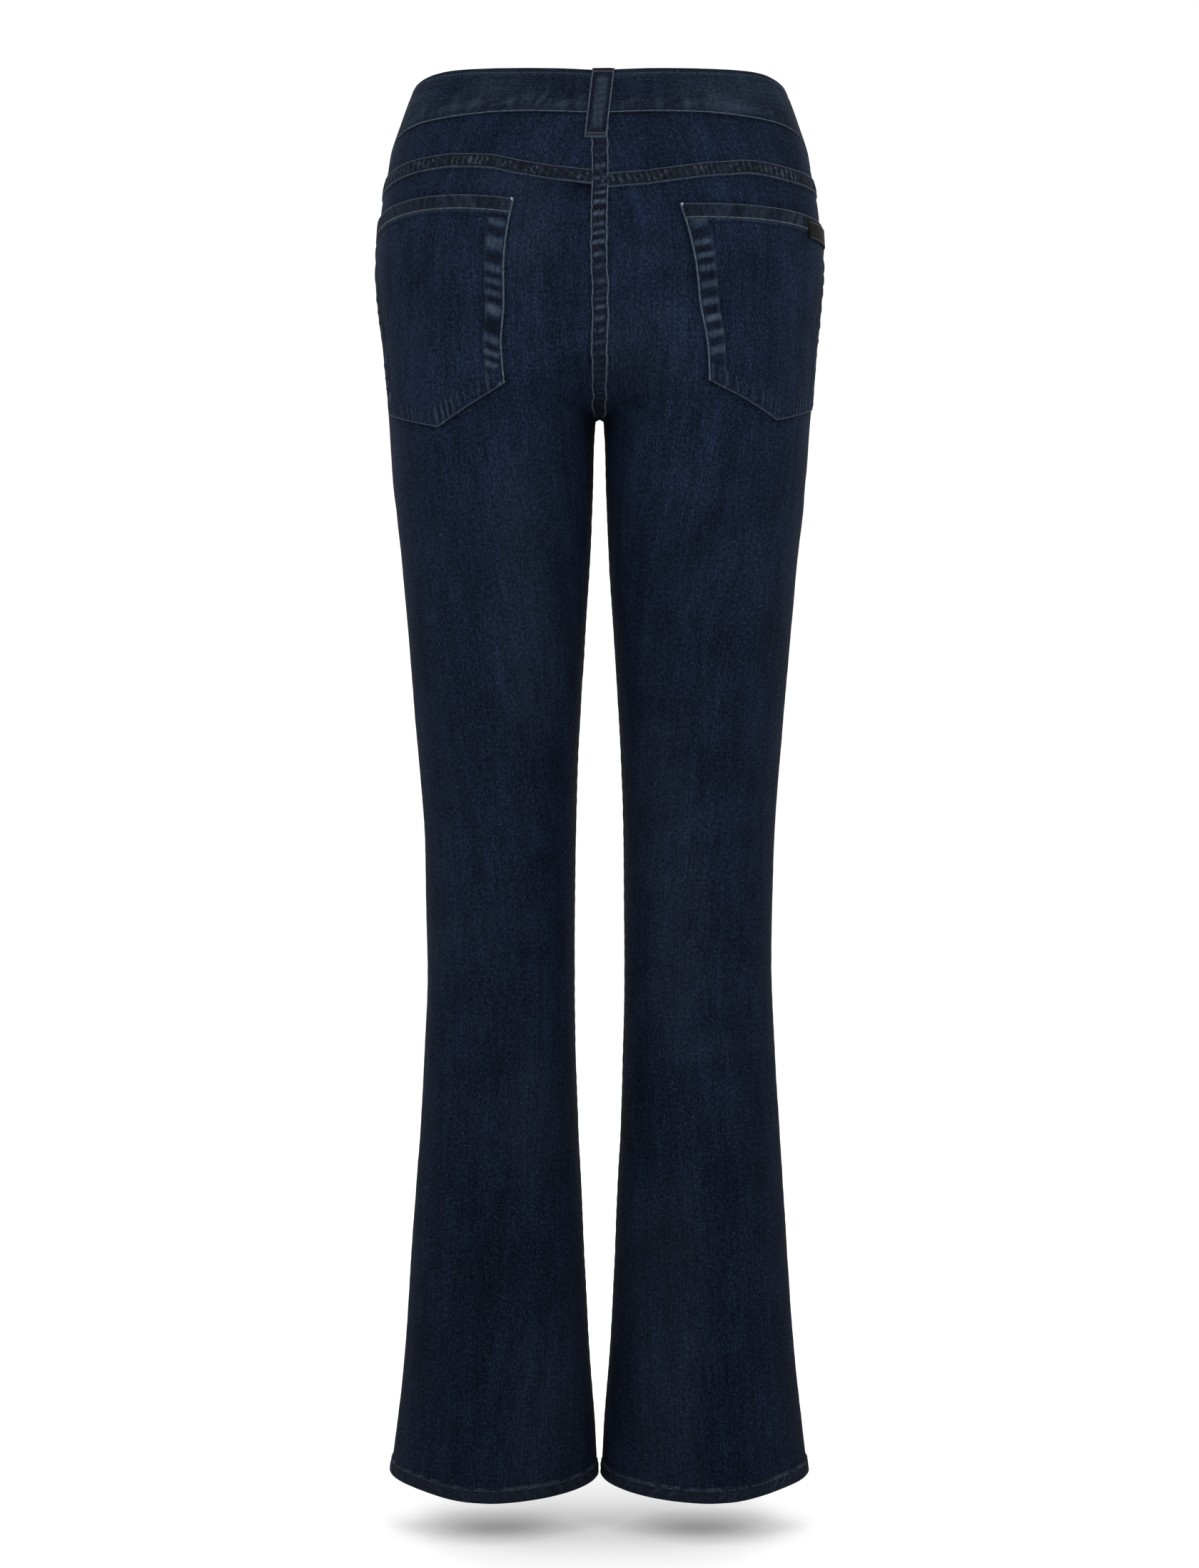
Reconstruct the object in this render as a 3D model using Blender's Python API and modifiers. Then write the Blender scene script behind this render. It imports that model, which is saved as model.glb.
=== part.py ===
"""Dark denim bootcut jeans, filled out as when they are worn, hanging upright from the waist.

Metres, +Z up. The origin is the centre of the waist opening, level with its upper edge at the
sides. +X is the wearer's right, +Y is forward, so the back of the jeans faces -Y.

The cloth is one closed form: a superellipse section for each leg at every height. Above the
crotch the two sections run into one another and each is cut off at the centre plane, which
draws the rise of the centre seams. Every panel is a piece of that form with a wall behind it.
A place on the form is a signed arc length, from the centre back or the inseam round to the
centre front, positive on the wearer's right, and a height.
"""

import math

import bpy
import numpy as np

# Cloth
WALL = 0.0015
BAND_WALL = 0.0020
BAND_PROUD = 0.0005
SEAM_GAP = 0.0003
HALF_GAP = SEAM_GAP / 2
INDIGO = (0.017, 0.026, 0.052)
INDIGO_BAND = (0.022, 0.032, 0.060)
TAB_BLACK = (0.008, 0.008, 0.009)
BRASS = (0.55, 0.38, 0.18)

# Sections: how far down from the waist, half the width over both legs, the inner edge of the
# leg (negative where the two sections still overlap), depth behind and in front of the widest
# point, where that point lies, and the power of the superellipse.
SECTIONS = (
    # drop, outer, inner, back, front, middle, power
    (-0.012, 0.1395, -0.1395, 0.0900, 0.0830, 0.000, 2.20),
    (0.000, 0.1440, -0.1440, 0.0940, 0.0860, 0.000, 2.20),
    (0.022, 0.1515, -0.1515, 0.0990, 0.0905, 0.000, 2.22),
    (0.044, 0.1590, -0.1590, 0.1045, 0.0955, 0.000, 2.25),
    (0.070, 0.1645, -0.1645, 0.1105, 0.1010, 0.000, 2.28),
    (0.095, 0.1684, -0.1684, 0.1160, 0.1050, 0.000, 2.30),
    (0.135, 0.1702, -0.1702, 0.1220, 0.1085, 0.000, 2.30),
    (0.170, 0.1682, -0.1675, 0.1240, 0.1095, 0.000, 2.28),
    (0.200, 0.1652, -0.0955, 0.1215, 0.1080, 0.000, 2.25),
    (0.225, 0.1636, -0.0409, 0.1145, 0.1040, 0.000, 2.22),
    (0.240, 0.1628, -0.0104, 0.1085, 0.1000, 0.000, 2.20),
    (0.245, 0.1623, 0.0000, 0.1065, 0.0985, 0.000, 2.20),
    (0.248, 0.1620, 0.0034, 0.1055, 0.0980, 0.000, 2.20),
    (0.300, 0.1585, 0.0055, 0.0985, 0.0925, -0.001, 2.18),
    (0.365, 0.1515, 0.0083, 0.0905, 0.0860, 0.000, 2.15),
    (0.475, 0.1422, 0.0154, 0.0770, 0.0745, 0.003, 2.10),
    (0.585, 0.1342, 0.0192, 0.0660, 0.0655, 0.005, 2.08),
    (0.667, 0.1328, 0.0200, 0.0605, 0.0610, 0.003, 2.08),
    (0.750, 0.1356, 0.0184, 0.0590, 0.0590, -0.003, 2.08),
    (0.860, 0.1425, 0.0138, 0.0615, 0.0595, -0.006, 2.08),
    (0.970, 0.1500, 0.0080, 0.0640, 0.0615, -0.004, 2.10),
    (1.025, 0.1560, 0.0040, 0.0655, 0.0630, -0.002, 2.12),
    (1.075, 0.1625, 0.0014, 0.0665, 0.0640, -0.001, 2.12),
)
COLUMN_NAMES = ("drop", "outer", "inner", "back", "front", "middle", "power")
SECTION = {name: np.array([row[i] for row in SECTIONS]) for i, name in enumerate(COLUMN_NAMES)}
CROTCH_DROP = 0.245
RING_POINTS = 161
INSEAM_FORWARD = math.radians(5)
INSEAM_EASE = 0.060
SIDE_SHARE = 0.535
NORMAL_STEP = 0.0006

# Waistband edges, by share of the way round from the centre back to the centre front
WAIST_LINE = (
    # share, upper edge, lower edge
    (0.00, 0.000, -0.0345),
    (0.20, 0.004, -0.0315),
    (0.35, 0.007, -0.0330),
    (0.50, 0.001, -0.0420),
    (0.75, -0.016, -0.0550),
    (1.00, -0.026, -0.0640),
)
BAND_COLUMNS = 50
BAND_ROWS = 4
LAP_SHARE = 0.060
LAP_RAMP = 0.045

# Yoke edge, by share of the way from the centre back to the side seam
YOKE_EDGE = (
    # share, drop on the left, drop on the right
    (0.00, 0.0890, 0.0915),
    (0.13, 0.0855, 0.0890),
    (0.24, 0.0806, 0.0847),
    (0.37, 0.0740, 0.0798),
    (0.52, 0.0712, 0.0766),
    (0.66, 0.0732, 0.0780),
    (0.90, 0.0800, 0.0790),
    (1.00, 0.0820, 0.0800),
)
YOKE_MEAN_DROP = 0.0800
YOKE_FADE_END = 0.175
YOKE_PLAIN_ROWS = 4

# Felled seams and hems stand proud of the plain cloth
STRIP_HALF = 0.0058
STRIP_STEP = 0.0008
STRIP_PROUD = 0.0007
YOKE_STRIP = 0.0110
HEM_HEIGHT = 0.0112
HEM_PROUD = 0.0009
HEM_DROP = 1.0605
HEM_SLOPE = 0.115
HEM_FADE = (0.930, 1.030)

# Rows of the leg panels, as drops below the waist
UPPER_BACK_ROWS = (0.080, 0.096, 0.114, 0.134, 0.155, 0.175, 0.193, 0.208, 0.220)
UPPER_FRONT_ROWS = (0.050, 0.066, 0.084, 0.104, 0.126, 0.150, 0.173, 0.194, 0.209, 0.221)
CROTCH_ROWS = (0.230, 0.237, 0.242, 0.2458, 0.251, 0.263, 0.285)
LEG_ROWS = (0.320, 0.365, 0.415, 0.470, 0.525, 0.580, 0.630, 0.680, 0.730, 0.785, 0.840, 0.895, 0.950, 1.005)
BACK_STEPS = 10
FRONT_STEPS = (0.20, 0.32, 0.44, 0.52, 0.56, 0.62, 0.70, 0.80, 0.90, 1.00)

# Front pocket mouth, by share of the way from the centre front to the side seam
MOUTH_START = 0.52
MOUTH_DEPTH = 0.085
MOUTH_POWER = 2.2
FRONT_TOP_MEAN = 0.050
FRONT_FADE_END = 0.245
FACING_SET_BACK = 0.0005
FACING_ROWS = 5

# Soft folds: share of the way round (0 centre back, 1 centre front), drop, half length, half
# width, lean from level in degrees, and height
FOLDS = (
    # side, share, drop, length, width, lean, height
    (1, 0.13, 0.205, 0.060, 0.022, 12, -0.0016),
    (1, 0.16, 0.262, 0.060, 0.022, -24, 0.0012),
    (-1, 0.12, 0.212, 0.055, 0.022, 10, -0.0013),
    (-1, 0.17, 0.270, 0.060, 0.022, -28, 0.0011),
    (1, 0.27, 0.640, 0.050, 0.024, 14, 0.0018),
    (-1, 0.22, 0.625, 0.050, 0.024, 20, 0.0016),
    (1, 0.24, 0.700, 0.055, 0.024, -16, -0.0017),
    (-1, 0.26, 0.690, 0.050, 0.024, -12, -0.0015),
    (1, 0.80, 0.215, 0.060, 0.022, -22, 0.0018),
    (-1, 0.81, 0.222, 0.060, 0.022, -20, 0.0017),
    (1, 0.84, 0.262, 0.055, 0.022, 20, -0.0009),
    (-1, 0.83, 0.258, 0.055, 0.022, 24, -0.0010),
    (1, 0.74, 0.600, 0.050, 0.024, 12, 0.0015),
    (-1, 0.76, 0.660, 0.050, 0.024, -14, 0.0016),
)

# Back pockets: arc length behind the widest point and drop, at the inner corner, the middle
# and the outer corner of the mouth and of the foot
POCKETS = {
    "left": {
        "side": -1,
        "top": ((0.1690, 0.0990), (0.0825, 0.0925), (-0.0040, 0.1055)),
        "bottom": ((0.1644, 0.2340), (0.1070, 0.2650), (0.0417, 0.2500)),
    },
    "right": {
        "side": 1,
        "top": ((0.1737, 0.1030), (0.0850, 0.1005), (-0.0040, 0.1055)),
        "bottom": ((0.1539, 0.2320), (0.0934, 0.2590), (0.0303, 0.2445)),
    },
}
POCKET_COLUMNS = 12
POCKET_ROWS = 9
POCKET_LIFT = 0.0011
POCKET_THICK = 0.0011
POCKET_HEM = 0.0115
POCKET_HEM_PROUD = 0.0005

# Belt loops: share of the way round (negative on the left), how far the foot leans over, width,
# drop of the foot, bow over the band, and how far the cloth under the foot stands proud
BELT_LOOPS = (
    # name, share, lean, width, foot drop, bow, cloth under the foot
    ("belt_loop_centre_back", 0.0, -0.0030, 0.0165, 0.0535, 0.0008, STRIP_PROUD),
    ("belt_loop_side_right", 0.5350, 0.0, 0.0150, 0.0560, 0.0020, 0.0),
    ("belt_loop_side_left", -0.5350, 0.0, 0.0150, 0.0560, 0.0020, 0.0),
    ("belt_loop_front_right", 0.8000, 0.0, 0.0150, 0.0740, 0.0020, 0.0),
    ("belt_loop_front_left", -0.8000, 0.0, 0.0150, 0.0740, 0.0020, 0.0),
)
LOOP_THICK = 0.0015
LOOP_SEAT = 0.0005
LOOP_OVER_TOP = 0.0005
LOOP_BOW_POWER = 0.7
LOOP_FOOT_START = 0.7
LOOP_ROWS = 9
LOOP_COLUMNS = 2

# Bare tab on the outer corner of the right back pocket
TAB_SPAN = (0.0600, 0.0060)
TAB_DROPS = (0.1052, 0.1190)
TAB_THICK = 0.0010
TAB_COLUMNS = 7
TAB_SEAT = 0.0004

# Shank button on the band's overlap
BUTTON_PLACE = 0.0100
SHANK_RADIUS = 0.0038
BUTTON_PROFILE = (
    # radius, height over the band
    (0.0, 0.0046),
    (0.0047, 0.0043),
    (0.0077, 0.0038),
    (0.0085, 0.0030),
    (0.0078, 0.0022),
    (SHANK_RADIUS, 0.0020),
    (SHANK_RADIUS, 0.0003),
    (0.0, 0.0003),
)
BUTTON_STEPS = 24


def smooth_curve(xs, ys, x):
    """The value at x of a smooth curve through the given rows that never overshoots them."""
    xs = np.asarray(xs, float)
    ys = np.asarray(ys, float)
    steps = np.diff(xs)
    rises = np.diff(ys) / steps
    slopes = np.zeros(len(xs))
    slopes[0] = rises[0]
    slopes[-1] = rises[-1]
    for i in range(1, len(xs) - 1):
        if rises[i - 1] * rises[i] > 0:
            before = 2 * steps[i] + steps[i - 1]
            after = steps[i] + 2 * steps[i - 1]
            slopes[i] = (before + after) / (before / rises[i - 1] + after / rises[i])
    i = int(np.clip(np.searchsorted(xs, x) - 1, 0, len(steps) - 1))
    t = min(max((x - xs[i]) / steps[i], 0.0), 1.0)
    rise = steps[i] * (slopes[i] * t * (1 - t) ** 2 - slopes[i + 1] * t**2 * (1 - t))
    return ys[i] * (1 + 2 * t) * (1 - t) ** 2 + ys[i + 1] * t**2 * (3 - 2 * t) + rise


def ease(start, end, x):
    """0 before start, 1 after end, and smooth between them."""
    t = min(max((x - start) / (end - start), 0.0), 1.0)
    return t * t * (3 - 2 * t)


SECTION_CACHE = {}


def section(height):
    """Centre, reach, depths and power of the right leg's section at a height."""
    key = round(height, 7)
    if key not in SECTION_CACHE:
        size = {n: smooth_curve(SECTION["drop"], SECTION[n], -height) for n in COLUMN_NAMES[1:]}
        size["centre"] = (size["outer"] + size["inner"]) / 2
        size["reach"] = (size["outer"] - size["inner"]) / 2
        SECTION_CACHE[key] = size
    return SECTION_CACHE[key]


RING_CACHE = {}


def ring(height):
    """Points round the right half at a height, back to front, and their arc lengths."""
    key = round(height, 7)
    if key in RING_CACHE:
        return RING_CACHE[key]
    size = section(height)
    split = size["centre"] / size["reach"]
    forward = INSEAM_FORWARD * ease(0.0, INSEAM_EASE, -height - CROTCH_DROP)
    back_end = -math.pi - forward
    front_end = math.pi - forward
    if split < 1:
        cut = math.pi - math.acos(max(split, 0.0) ** (size["power"] / 2))
        back_end = -cut
        front_end = cut
    angles = np.linspace(back_end, front_end, RING_POINTS)
    across = np.cos(angles)
    along = np.sin(angles)
    bend = 2 / size["power"]
    x = size["centre"] + size["reach"] * np.sign(across) * np.abs(across) ** bend
    depth = np.where(along < 0, size["back"], size["front"])
    y = size["middle"] + depth * np.sign(along) * np.abs(along) ** bend
    if split < 1:
        x[0] = 0.0
        x[-1] = 0.0
    arc = np.concatenate([[0.0], np.cumsum(np.hypot(np.diff(x), np.diff(y)))])
    RING_CACHE[key] = (x, y, arc, np.interp(0.0, angles, arc))
    return RING_CACHE[key]


def way_round(height):
    """Arc length from the centre back or inseam round to the centre front or inseam."""
    return ring(height)[2][-1]


def flank(height):
    """Arc length of the widest point at a height."""
    return ring(height)[3]


def on_form(arc, height):
    """The point of the form at a signed arc length and a height."""
    x, y, arcs, _ = ring(height)
    place = abs(arc)
    if place > arcs[-1]:
        place = 2 * arcs[-1] - place
        arc = -arc
    side = -1.0 if arc < 0 else 1.0
    return np.array([side * np.interp(place, arcs, x), np.interp(place, arcs, y), height])


def section_value(x, y, height):
    """1 on the form, less inside it and more outside it."""
    size = section(height)
    depth = size["back"] if y < size["middle"] else size["front"]
    wide = abs((abs(x) - size["centre"]) / size["reach"]) ** size["power"]
    deep = abs((y - size["middle"]) / depth) ** size["power"]
    return wide + deep


def outward(point):
    """The unit normal of the form at one of its points."""
    step = NORMAL_STEP
    x, y, z = point
    side = -1.0 if x < 0 else 1.0
    right = abs(x)
    slope_x = section_value(right + step, y, z) - section_value(max(right - step, 0.0), y, z)
    slope_x *= 2 * step / (right + step - max(right - step, 0.0))
    slope_y = section_value(right, y + step, z) - section_value(right, y - step, z)
    slope_z = section_value(right, y, z + step) - section_value(right, y, z - step)
    normal = np.array([side * slope_x, slope_y, slope_z])
    return normal / np.linalg.norm(normal)


def fold_height(arc, height):
    """How far the soft folds move the cloth outward at a place."""
    total = way_round(height)
    side = -1 if arc < 0 else 1
    moved = 0.0
    for fold_side, share, drop, length, width, lean, rise in FOLDS:
        if fold_side != side:
            continue
        over = abs(arc) - share * total
        down = -height - drop
        turn = math.radians(lean)
        along = over * math.cos(turn) + down * math.sin(turn)
        across = down * math.cos(turn) - over * math.sin(turn)
        moved += rise * math.exp(-((along / length) ** 2) - (across / width) ** 2)
    return moved


def lifted(arc, height, lift, shift=0.0):
    """The point at a place on the form, moved out by lift and down by shift."""
    point = on_form(arc, height)
    normal = outward(point)
    moved = point + normal * (lift + fold_height(arc, height))
    return moved - np.array([0.0, 0.0, shift])


def walled_grid(name, outer, inner, material, flip=False):
    """A closed wall between two grids of points, as an object."""
    rows, columns = outer.shape[:2]
    points = np.concatenate([outer.reshape(-1, 3), inner.reshape(-1, 3)])
    behind = rows * columns
    faces = []
    for i in range(rows - 1):
        for j in range(columns - 1):
            a = i * columns + j
            quad = (a, a + 1, a + 1 + columns, a + columns)
            faces.append(quad)
            faces.append(tuple(behind + k for k in reversed(quad)))
    top = [j for j in range(columns)]
    last = [i * columns + columns - 1 for i in range(rows)]
    bottom = [(rows - 1) * columns + j for j in reversed(range(columns))]
    first = [i * columns for i in reversed(range(rows))]
    rim = top[:-1] + last[:-1] + bottom[:-1] + first
    for a, b in zip(rim[:-1], rim[1:]):
        faces.append((a, a + behind, b + behind, b))
    if flip:
        faces = [tuple(reversed(face)) for face in faces]
    mesh = bpy.data.meshes.new(name)
    mesh.from_pydata([tuple(p) for p in points], [], faces)
    mesh.update()
    mesh.shade_smooth()
    mesh.set_sharp_from_angle(angle=math.radians(40))
    part = bpy.data.objects.new(name, mesh)
    PARTS.objects.link(part)
    mesh.materials.append(material)
    return part


def piece_on_form(name, material, places, wall, half=0):
    """A wall whose outer points lie on the form: places holds arc, height, base, lift and shift.

    The inner points ignore the lift, so raised seams keep a plain inside. A piece with a half,
    1 for right and -1 for left, stays on its own side of the centre plane.
    """
    rows = len(places)
    columns = len(places[0])
    outer = np.zeros((rows, columns, 3))
    inner = np.zeros((rows, columns, 3))
    for i, row in enumerate(places):
        for j, (arc, height, base, lift, shift) in enumerate(row):
            outer[i, j] = lifted(arc, height, base + lift, shift)
            inner[i, j] = lifted(arc, height, base - wall, shift)
    if half:
        for grid in (outer, inner):
            grid[:, :, 0] = half * np.maximum(half * grid[:, :, 0], HALF_GAP)
    runs_left = places[0][-1][0] < places[0][0][0]
    return walled_grid(name, outer, inner, material, flip=not runs_left)


def fabric(name, colour, roughness=0.85):
    """A plain cloth material."""
    material = bpy.data.materials.new(name)
    material.use_nodes = True
    shader = material.node_tree.nodes["Principled BSDF"]
    shader.inputs["Base Color"].default_value = (*colour, 1.0)
    shader.inputs["Roughness"].default_value = roughness
    shader.inputs["Metallic"].default_value = 0.0
    material.diffuse_color = (*colour, 1.0)
    return material


def metal(name, colour, roughness):
    """A plain metal material."""
    material = fabric(name, colour, roughness)
    material.node_tree.nodes["Principled BSDF"].inputs["Metallic"].default_value = 1.0
    material.metallic = 1.0
    return material


def waist_edge(share, column):
    """Height of the band's upper edge (column 1) or lower edge (column 2)."""
    shares = [row[0] for row in WAIST_LINE]
    return smooth_curve(shares, [row[column] for row in WAIST_LINE], share)


def yoke_edge(share, side):
    """Drop of the yoke's lower edge at a share of the way to the side seam."""
    column = 2 if side > 0 else 1
    shares = [row[0] for row in YOKE_EDGE]
    return smooth_curve(shares, [row[column] for row in YOKE_EDGE], share)


def side_seam(height):
    """Arc length of the side seam at a height."""
    return SIDE_SHARE * way_round(height)


def back_columns(height):
    """Arc length and lift of a back panel's columns, with the felled strip at the inner edge."""
    end = side_seam(height) - HALF_GAP
    strip = STRIP_HALF + STRIP_STEP / 2
    places = [(HALF_GAP, STRIP_PROUD), (STRIP_HALF - STRIP_STEP / 2, STRIP_PROUD), (strip, 0.0)]
    places += [(strip + (end - strip) * k / BACK_STEPS, 0.0) for k in range(1, BACK_STEPS + 1)]
    return places


def front_columns(height):
    """Arc length and lift of a front panel's columns, from the centre front to the side seam."""
    total = way_round(height)
    width = total - side_seam(height) - HALF_GAP
    strip = STRIP_HALF + STRIP_STEP / 2
    places = [(HALF_GAP, STRIP_PROUD), (STRIP_HALF - STRIP_STEP / 2, STRIP_PROUD), (strip, 0.0)]
    places += [(strip + (width - strip) * share, 0.0) for share in FRONT_STEPS]
    return [(total - place, lift) for place, lift in places]


def leg_rows(upper_rows):
    """Drops of a leg panel's rows, with each row's lift, down to the folded hem."""
    rows = [(drop, 0.0) for drop in upper_rows + CROTCH_ROWS + LEG_ROWS]
    rows.append((HEM_DROP - HEM_HEIGHT - STRIP_STEP, 0.0))
    rows.append((HEM_DROP - HEM_HEIGHT, HEM_PROUD))
    rows.append((HEM_DROP, HEM_PROUD))
    return rows


def hem_shift(arc, height):
    """How far the hem dips behind and lifts in front."""
    return -HEM_SLOPE * on_form(arc, height)[1] * ease(*HEM_FADE, -height)


def back_leg(name, side):
    """Back panel of one leg, from the yoke seam to the hem."""
    places = []
    count = len(back_columns(-YOKE_MEAN_DROP))
    for drop, row_lift in leg_rows(UPPER_BACK_ROWS):
        row = []
        for j in range(count):
            share = back_columns(-drop)[j][0] / side_seam(-drop)
            follow = 1 - ease(YOKE_MEAN_DROP, YOKE_FADE_END, drop)
            height = -drop - (yoke_edge(share, side) - YOKE_MEAN_DROP + HALF_GAP) * follow
            arc, lift = back_columns(height)[j]
            row.append((side * arc, height, 0.0, max(lift, row_lift), hem_shift(arc, height)))
        places.append(row)
    return piece_on_form(name, fabric(name, INDIGO), places, WALL, side)


def mouth_drop(share):
    """Drop of the front panel's upper edge, by share of the way to the side seam."""
    around = 1 - share * (1 - SIDE_SHARE)
    drop = -waist_edge(around, 2)
    if share > MOUTH_START:
        run = (share - MOUTH_START) / (1 - MOUTH_START)
        drop += MOUTH_DEPTH * (1 - (1 - run) ** MOUTH_POWER)
    return drop


def front_shares():
    """Share of the way from the centre front to the side seam of each front column."""
    height = -FRONT_TOP_MEAN
    total = way_round(height)
    width = total - side_seam(height)
    return [min(max((total - arc) / width, 0.0), 1.0) for arc, _ in front_columns(height)]


def front_leg(name, side):
    """Front panel of one leg, from the waistband and the pocket mouth to the hem."""
    shares = front_shares()
    places = []
    for drop, row_lift in leg_rows(UPPER_FRONT_ROWS):
        fade = min(max((FRONT_FADE_END - drop) / (FRONT_FADE_END - FRONT_TOP_MEAN), 0.0), 1.0)
        row = []
        for j, share in enumerate(shares):
            height = -drop - (mouth_drop(share) - FRONT_TOP_MEAN + HALF_GAP) * fade
            arc, lift = front_columns(height)[j]
            row.append((side * arc, height, 0.0, max(lift, row_lift), hem_shift(arc, height)))
        places.append(row)
    return piece_on_form(name, fabric(name, INDIGO), places, WALL, side)


def pocket_facing(name, side):
    """Denim facing that closes the front pocket mouth, set back behind the panel's edge."""
    shares = front_shares()
    first = next(j for j, share in enumerate(shares) if share > MOUTH_START)
    places = []
    for i in range(FACING_ROWS):
        down = i / (FACING_ROWS - 1)
        row = []
        for j in range(first, len(shares)):
            around = 1 - shares[j] * (1 - SIDE_SHARE)
            top = waist_edge(around, 2) - HALF_GAP
            foot = -mouth_drop(shares[j]) + HALF_GAP
            height = top + (foot - top) * down
            arc = front_columns(height)[j][0]
            row.append((side * arc, height, -FACING_SET_BACK, 0.0, 0.0))
        places.append(row)
    return piece_on_form(name, fabric(name, INDIGO), places, WALL)


def yoke(name, side):
    """Shaped yoke between the waistband and the back panel, its felled strip at the foot."""
    columns = []
    for j, (reach, _) in enumerate(back_columns(-YOKE_MEAN_DROP)):
        share = reach / side_seam(-YOKE_MEAN_DROP)
        top = waist_edge(share * SIDE_SHARE, 2) - HALF_GAP
        foot = -yoke_edge(share, side) + HALF_GAP
        strip = foot + YOKE_STRIP
        plain = [(height, 0.0) for height in np.linspace(top, strip + STRIP_STEP, YOKE_PLAIN_ROWS)]
        column = []
        for height, raised in plain + [(strip, STRIP_PROUD), (foot, STRIP_PROUD)]:
            arc, lift = back_columns(height)[j]
            column.append((side * arc, height, 0.0, max(lift, raised), 0.0))
        columns.append(column)
    places = [list(row) for row in zip(*columns)]
    return piece_on_form(name, fabric(name, INDIGO), places, WALL, side)


def waistband():
    """One strip right round the waist, whose left end laps over the right one in front."""
    places = []
    shares = np.linspace(-1 - LAP_SHARE, 1 + LAP_SHARE, BAND_COLUMNS)
    for i in range(BAND_ROWS):
        row = []
        for share in shares:
            around = abs(share) if abs(share) <= 1 else 2 - abs(share)
            top = waist_edge(around, 1)
            foot = waist_edge(around, 2) + HALF_GAP
            height = top + (foot - top) * i / (BAND_ROWS - 1)
            over = (BAND_WALL + SEAM_GAP) * ease(1 - LAP_SHARE - LAP_RAMP, 1 - LAP_SHARE, -share)
            row.append((share * way_round(height), height, BAND_PROUD + over, 0.0, 0.0))
        places.append(row)
    return piece_on_form("waistband", fabric("waistband", INDIGO_BAND), places, BAND_WALL)


def edge_point(points, share):
    """A point on the line through an edge's three points."""
    run = share * 2
    start = 0 if run < 1 else 1
    a = np.array(points[start])
    b = np.array(points[start + 1])
    return a + (b - a) * (run - start)


def bowed_point(points, share):
    """A point on the arc through an edge's three points."""
    a, b, c = (np.array(p) for p in points)
    return a * (1 - share) * (1 - 2 * share) + b * 4 * share * (1 - share) + c * share * (2 * share - 1)


def back_pocket(name, plan):
    """Patch pocket with a pointed foot and a folded hem along its mouth."""
    places = []
    for i in range(POCKET_ROWS):
        row = []
        for j in range(POCKET_COLUMNS + 1):
            share = j / POCKET_COLUMNS
            top = bowed_point(plan["top"], share)
            foot = edge_point(plan["bottom"], share)
            hem = POCKET_HEM / (foot[1] - top[1])
            levels = [0.0, hem, hem + STRIP_STEP / (foot[1] - top[1])]
            levels += list(np.linspace(levels[-1], 1, POCKET_ROWS - 2)[1:])
            behind, drop = top + (foot - top) * levels[i]
            arc = flank(-drop) - behind
            proud = POCKET_HEM_PROUD if i < 2 else 0.0
            row.append((plan["side"] * arc, -drop, POCKET_LIFT + POCKET_THICK, proud, 0.0))
        places.append(row)
    return piece_on_form(name, fabric(name, INDIGO), places, POCKET_THICK)


def pocket_tab():
    """Plain folded tab sewn over the mouth's outer corner of the right back pocket."""
    base = POCKET_LIFT + POCKET_THICK + POCKET_HEM_PROUD + TAB_SEAT + TAB_THICK
    places = []
    for drop in np.linspace(*TAB_DROPS, 3):
        behind = np.linspace(*TAB_SPAN, TAB_COLUMNS)
        places.append([(flank(-drop) - back, -drop, base, 0.0, 0.0) for back in behind])
    return piece_on_form("pocket_tab", fabric("pocket_tab", TAB_BLACK), places, TAB_THICK)


def belt_loop(name, share, lean, width, foot_drop, bow, under_foot):
    """Strap from the band's upper edge down to its foot below the band."""
    top = waist_edge(abs(share), 1) + LOOP_OVER_TOP
    places = []
    for i in range(LOOP_ROWS):
        down = i / (LOOP_ROWS - 1)
        height = top + (-foot_drop - top) * down
        middle = share * way_round(height) + lean * 2 * (down - 0.5)
        seat = LOOP_SEAT + BAND_PROUD + (under_foot - BAND_PROUD) * ease(LOOP_FOOT_START, 1.0, down)
        seat += bow * math.sin(math.pi * down) ** LOOP_BOW_POWER
        places.append([
            (middle + width * (j / LOOP_COLUMNS - 0.5), height, seat + LOOP_THICK, 0.0, 0.0)
            for j in range(LOOP_COLUMNS + 1)
        ])
    return piece_on_form(name, fabric(name, INDIGO), places, LOOP_THICK)


def waist_button():
    """Round shank button, turned from its profile and seated on the band's overlap."""
    mesh = bpy.data.meshes.new("waist_button")
    points = [(radius, 0.0, height) for radius, height in BUTTON_PROFILE]
    edges = [(i, i + 1) for i in range(len(points) - 1)]
    mesh.from_pydata(points, edges, [])
    button = bpy.data.objects.new("waist_button", mesh)
    PARTS.objects.link(button)
    turned = button.modifiers.new("turned", "SCREW")
    turned.axis = "Z"
    turned.angle = math.tau
    turned.steps = BUTTON_STEPS
    turned.render_steps = BUTTON_STEPS
    turned.use_merge_vertices = True
    turned.merge_threshold = 0.00001
    turned.use_smooth_shade = True
    middle = (waist_edge(1.0, 1) + waist_edge(1.0, 2)) / 2
    place = on_form(way_round(middle) - BUTTON_PLACE, middle)
    normal = outward(place)
    button.location = place + normal * (BAND_PROUD + BAND_WALL + SEAM_GAP)
    pitch = math.acos(normal[2])
    button.rotation_euler = (0.0, pitch, math.atan2(normal[1], normal[0]))
    mesh.materials.append(metal("waist_button", BRASS, 0.35))
    return button


for old in list(bpy.data.objects):
    bpy.data.objects.remove(old, do_unlink=True)
PARTS = bpy.data.collections.new("bootcut_jeans")
bpy.context.scene.collection.children.link(PARTS)

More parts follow.
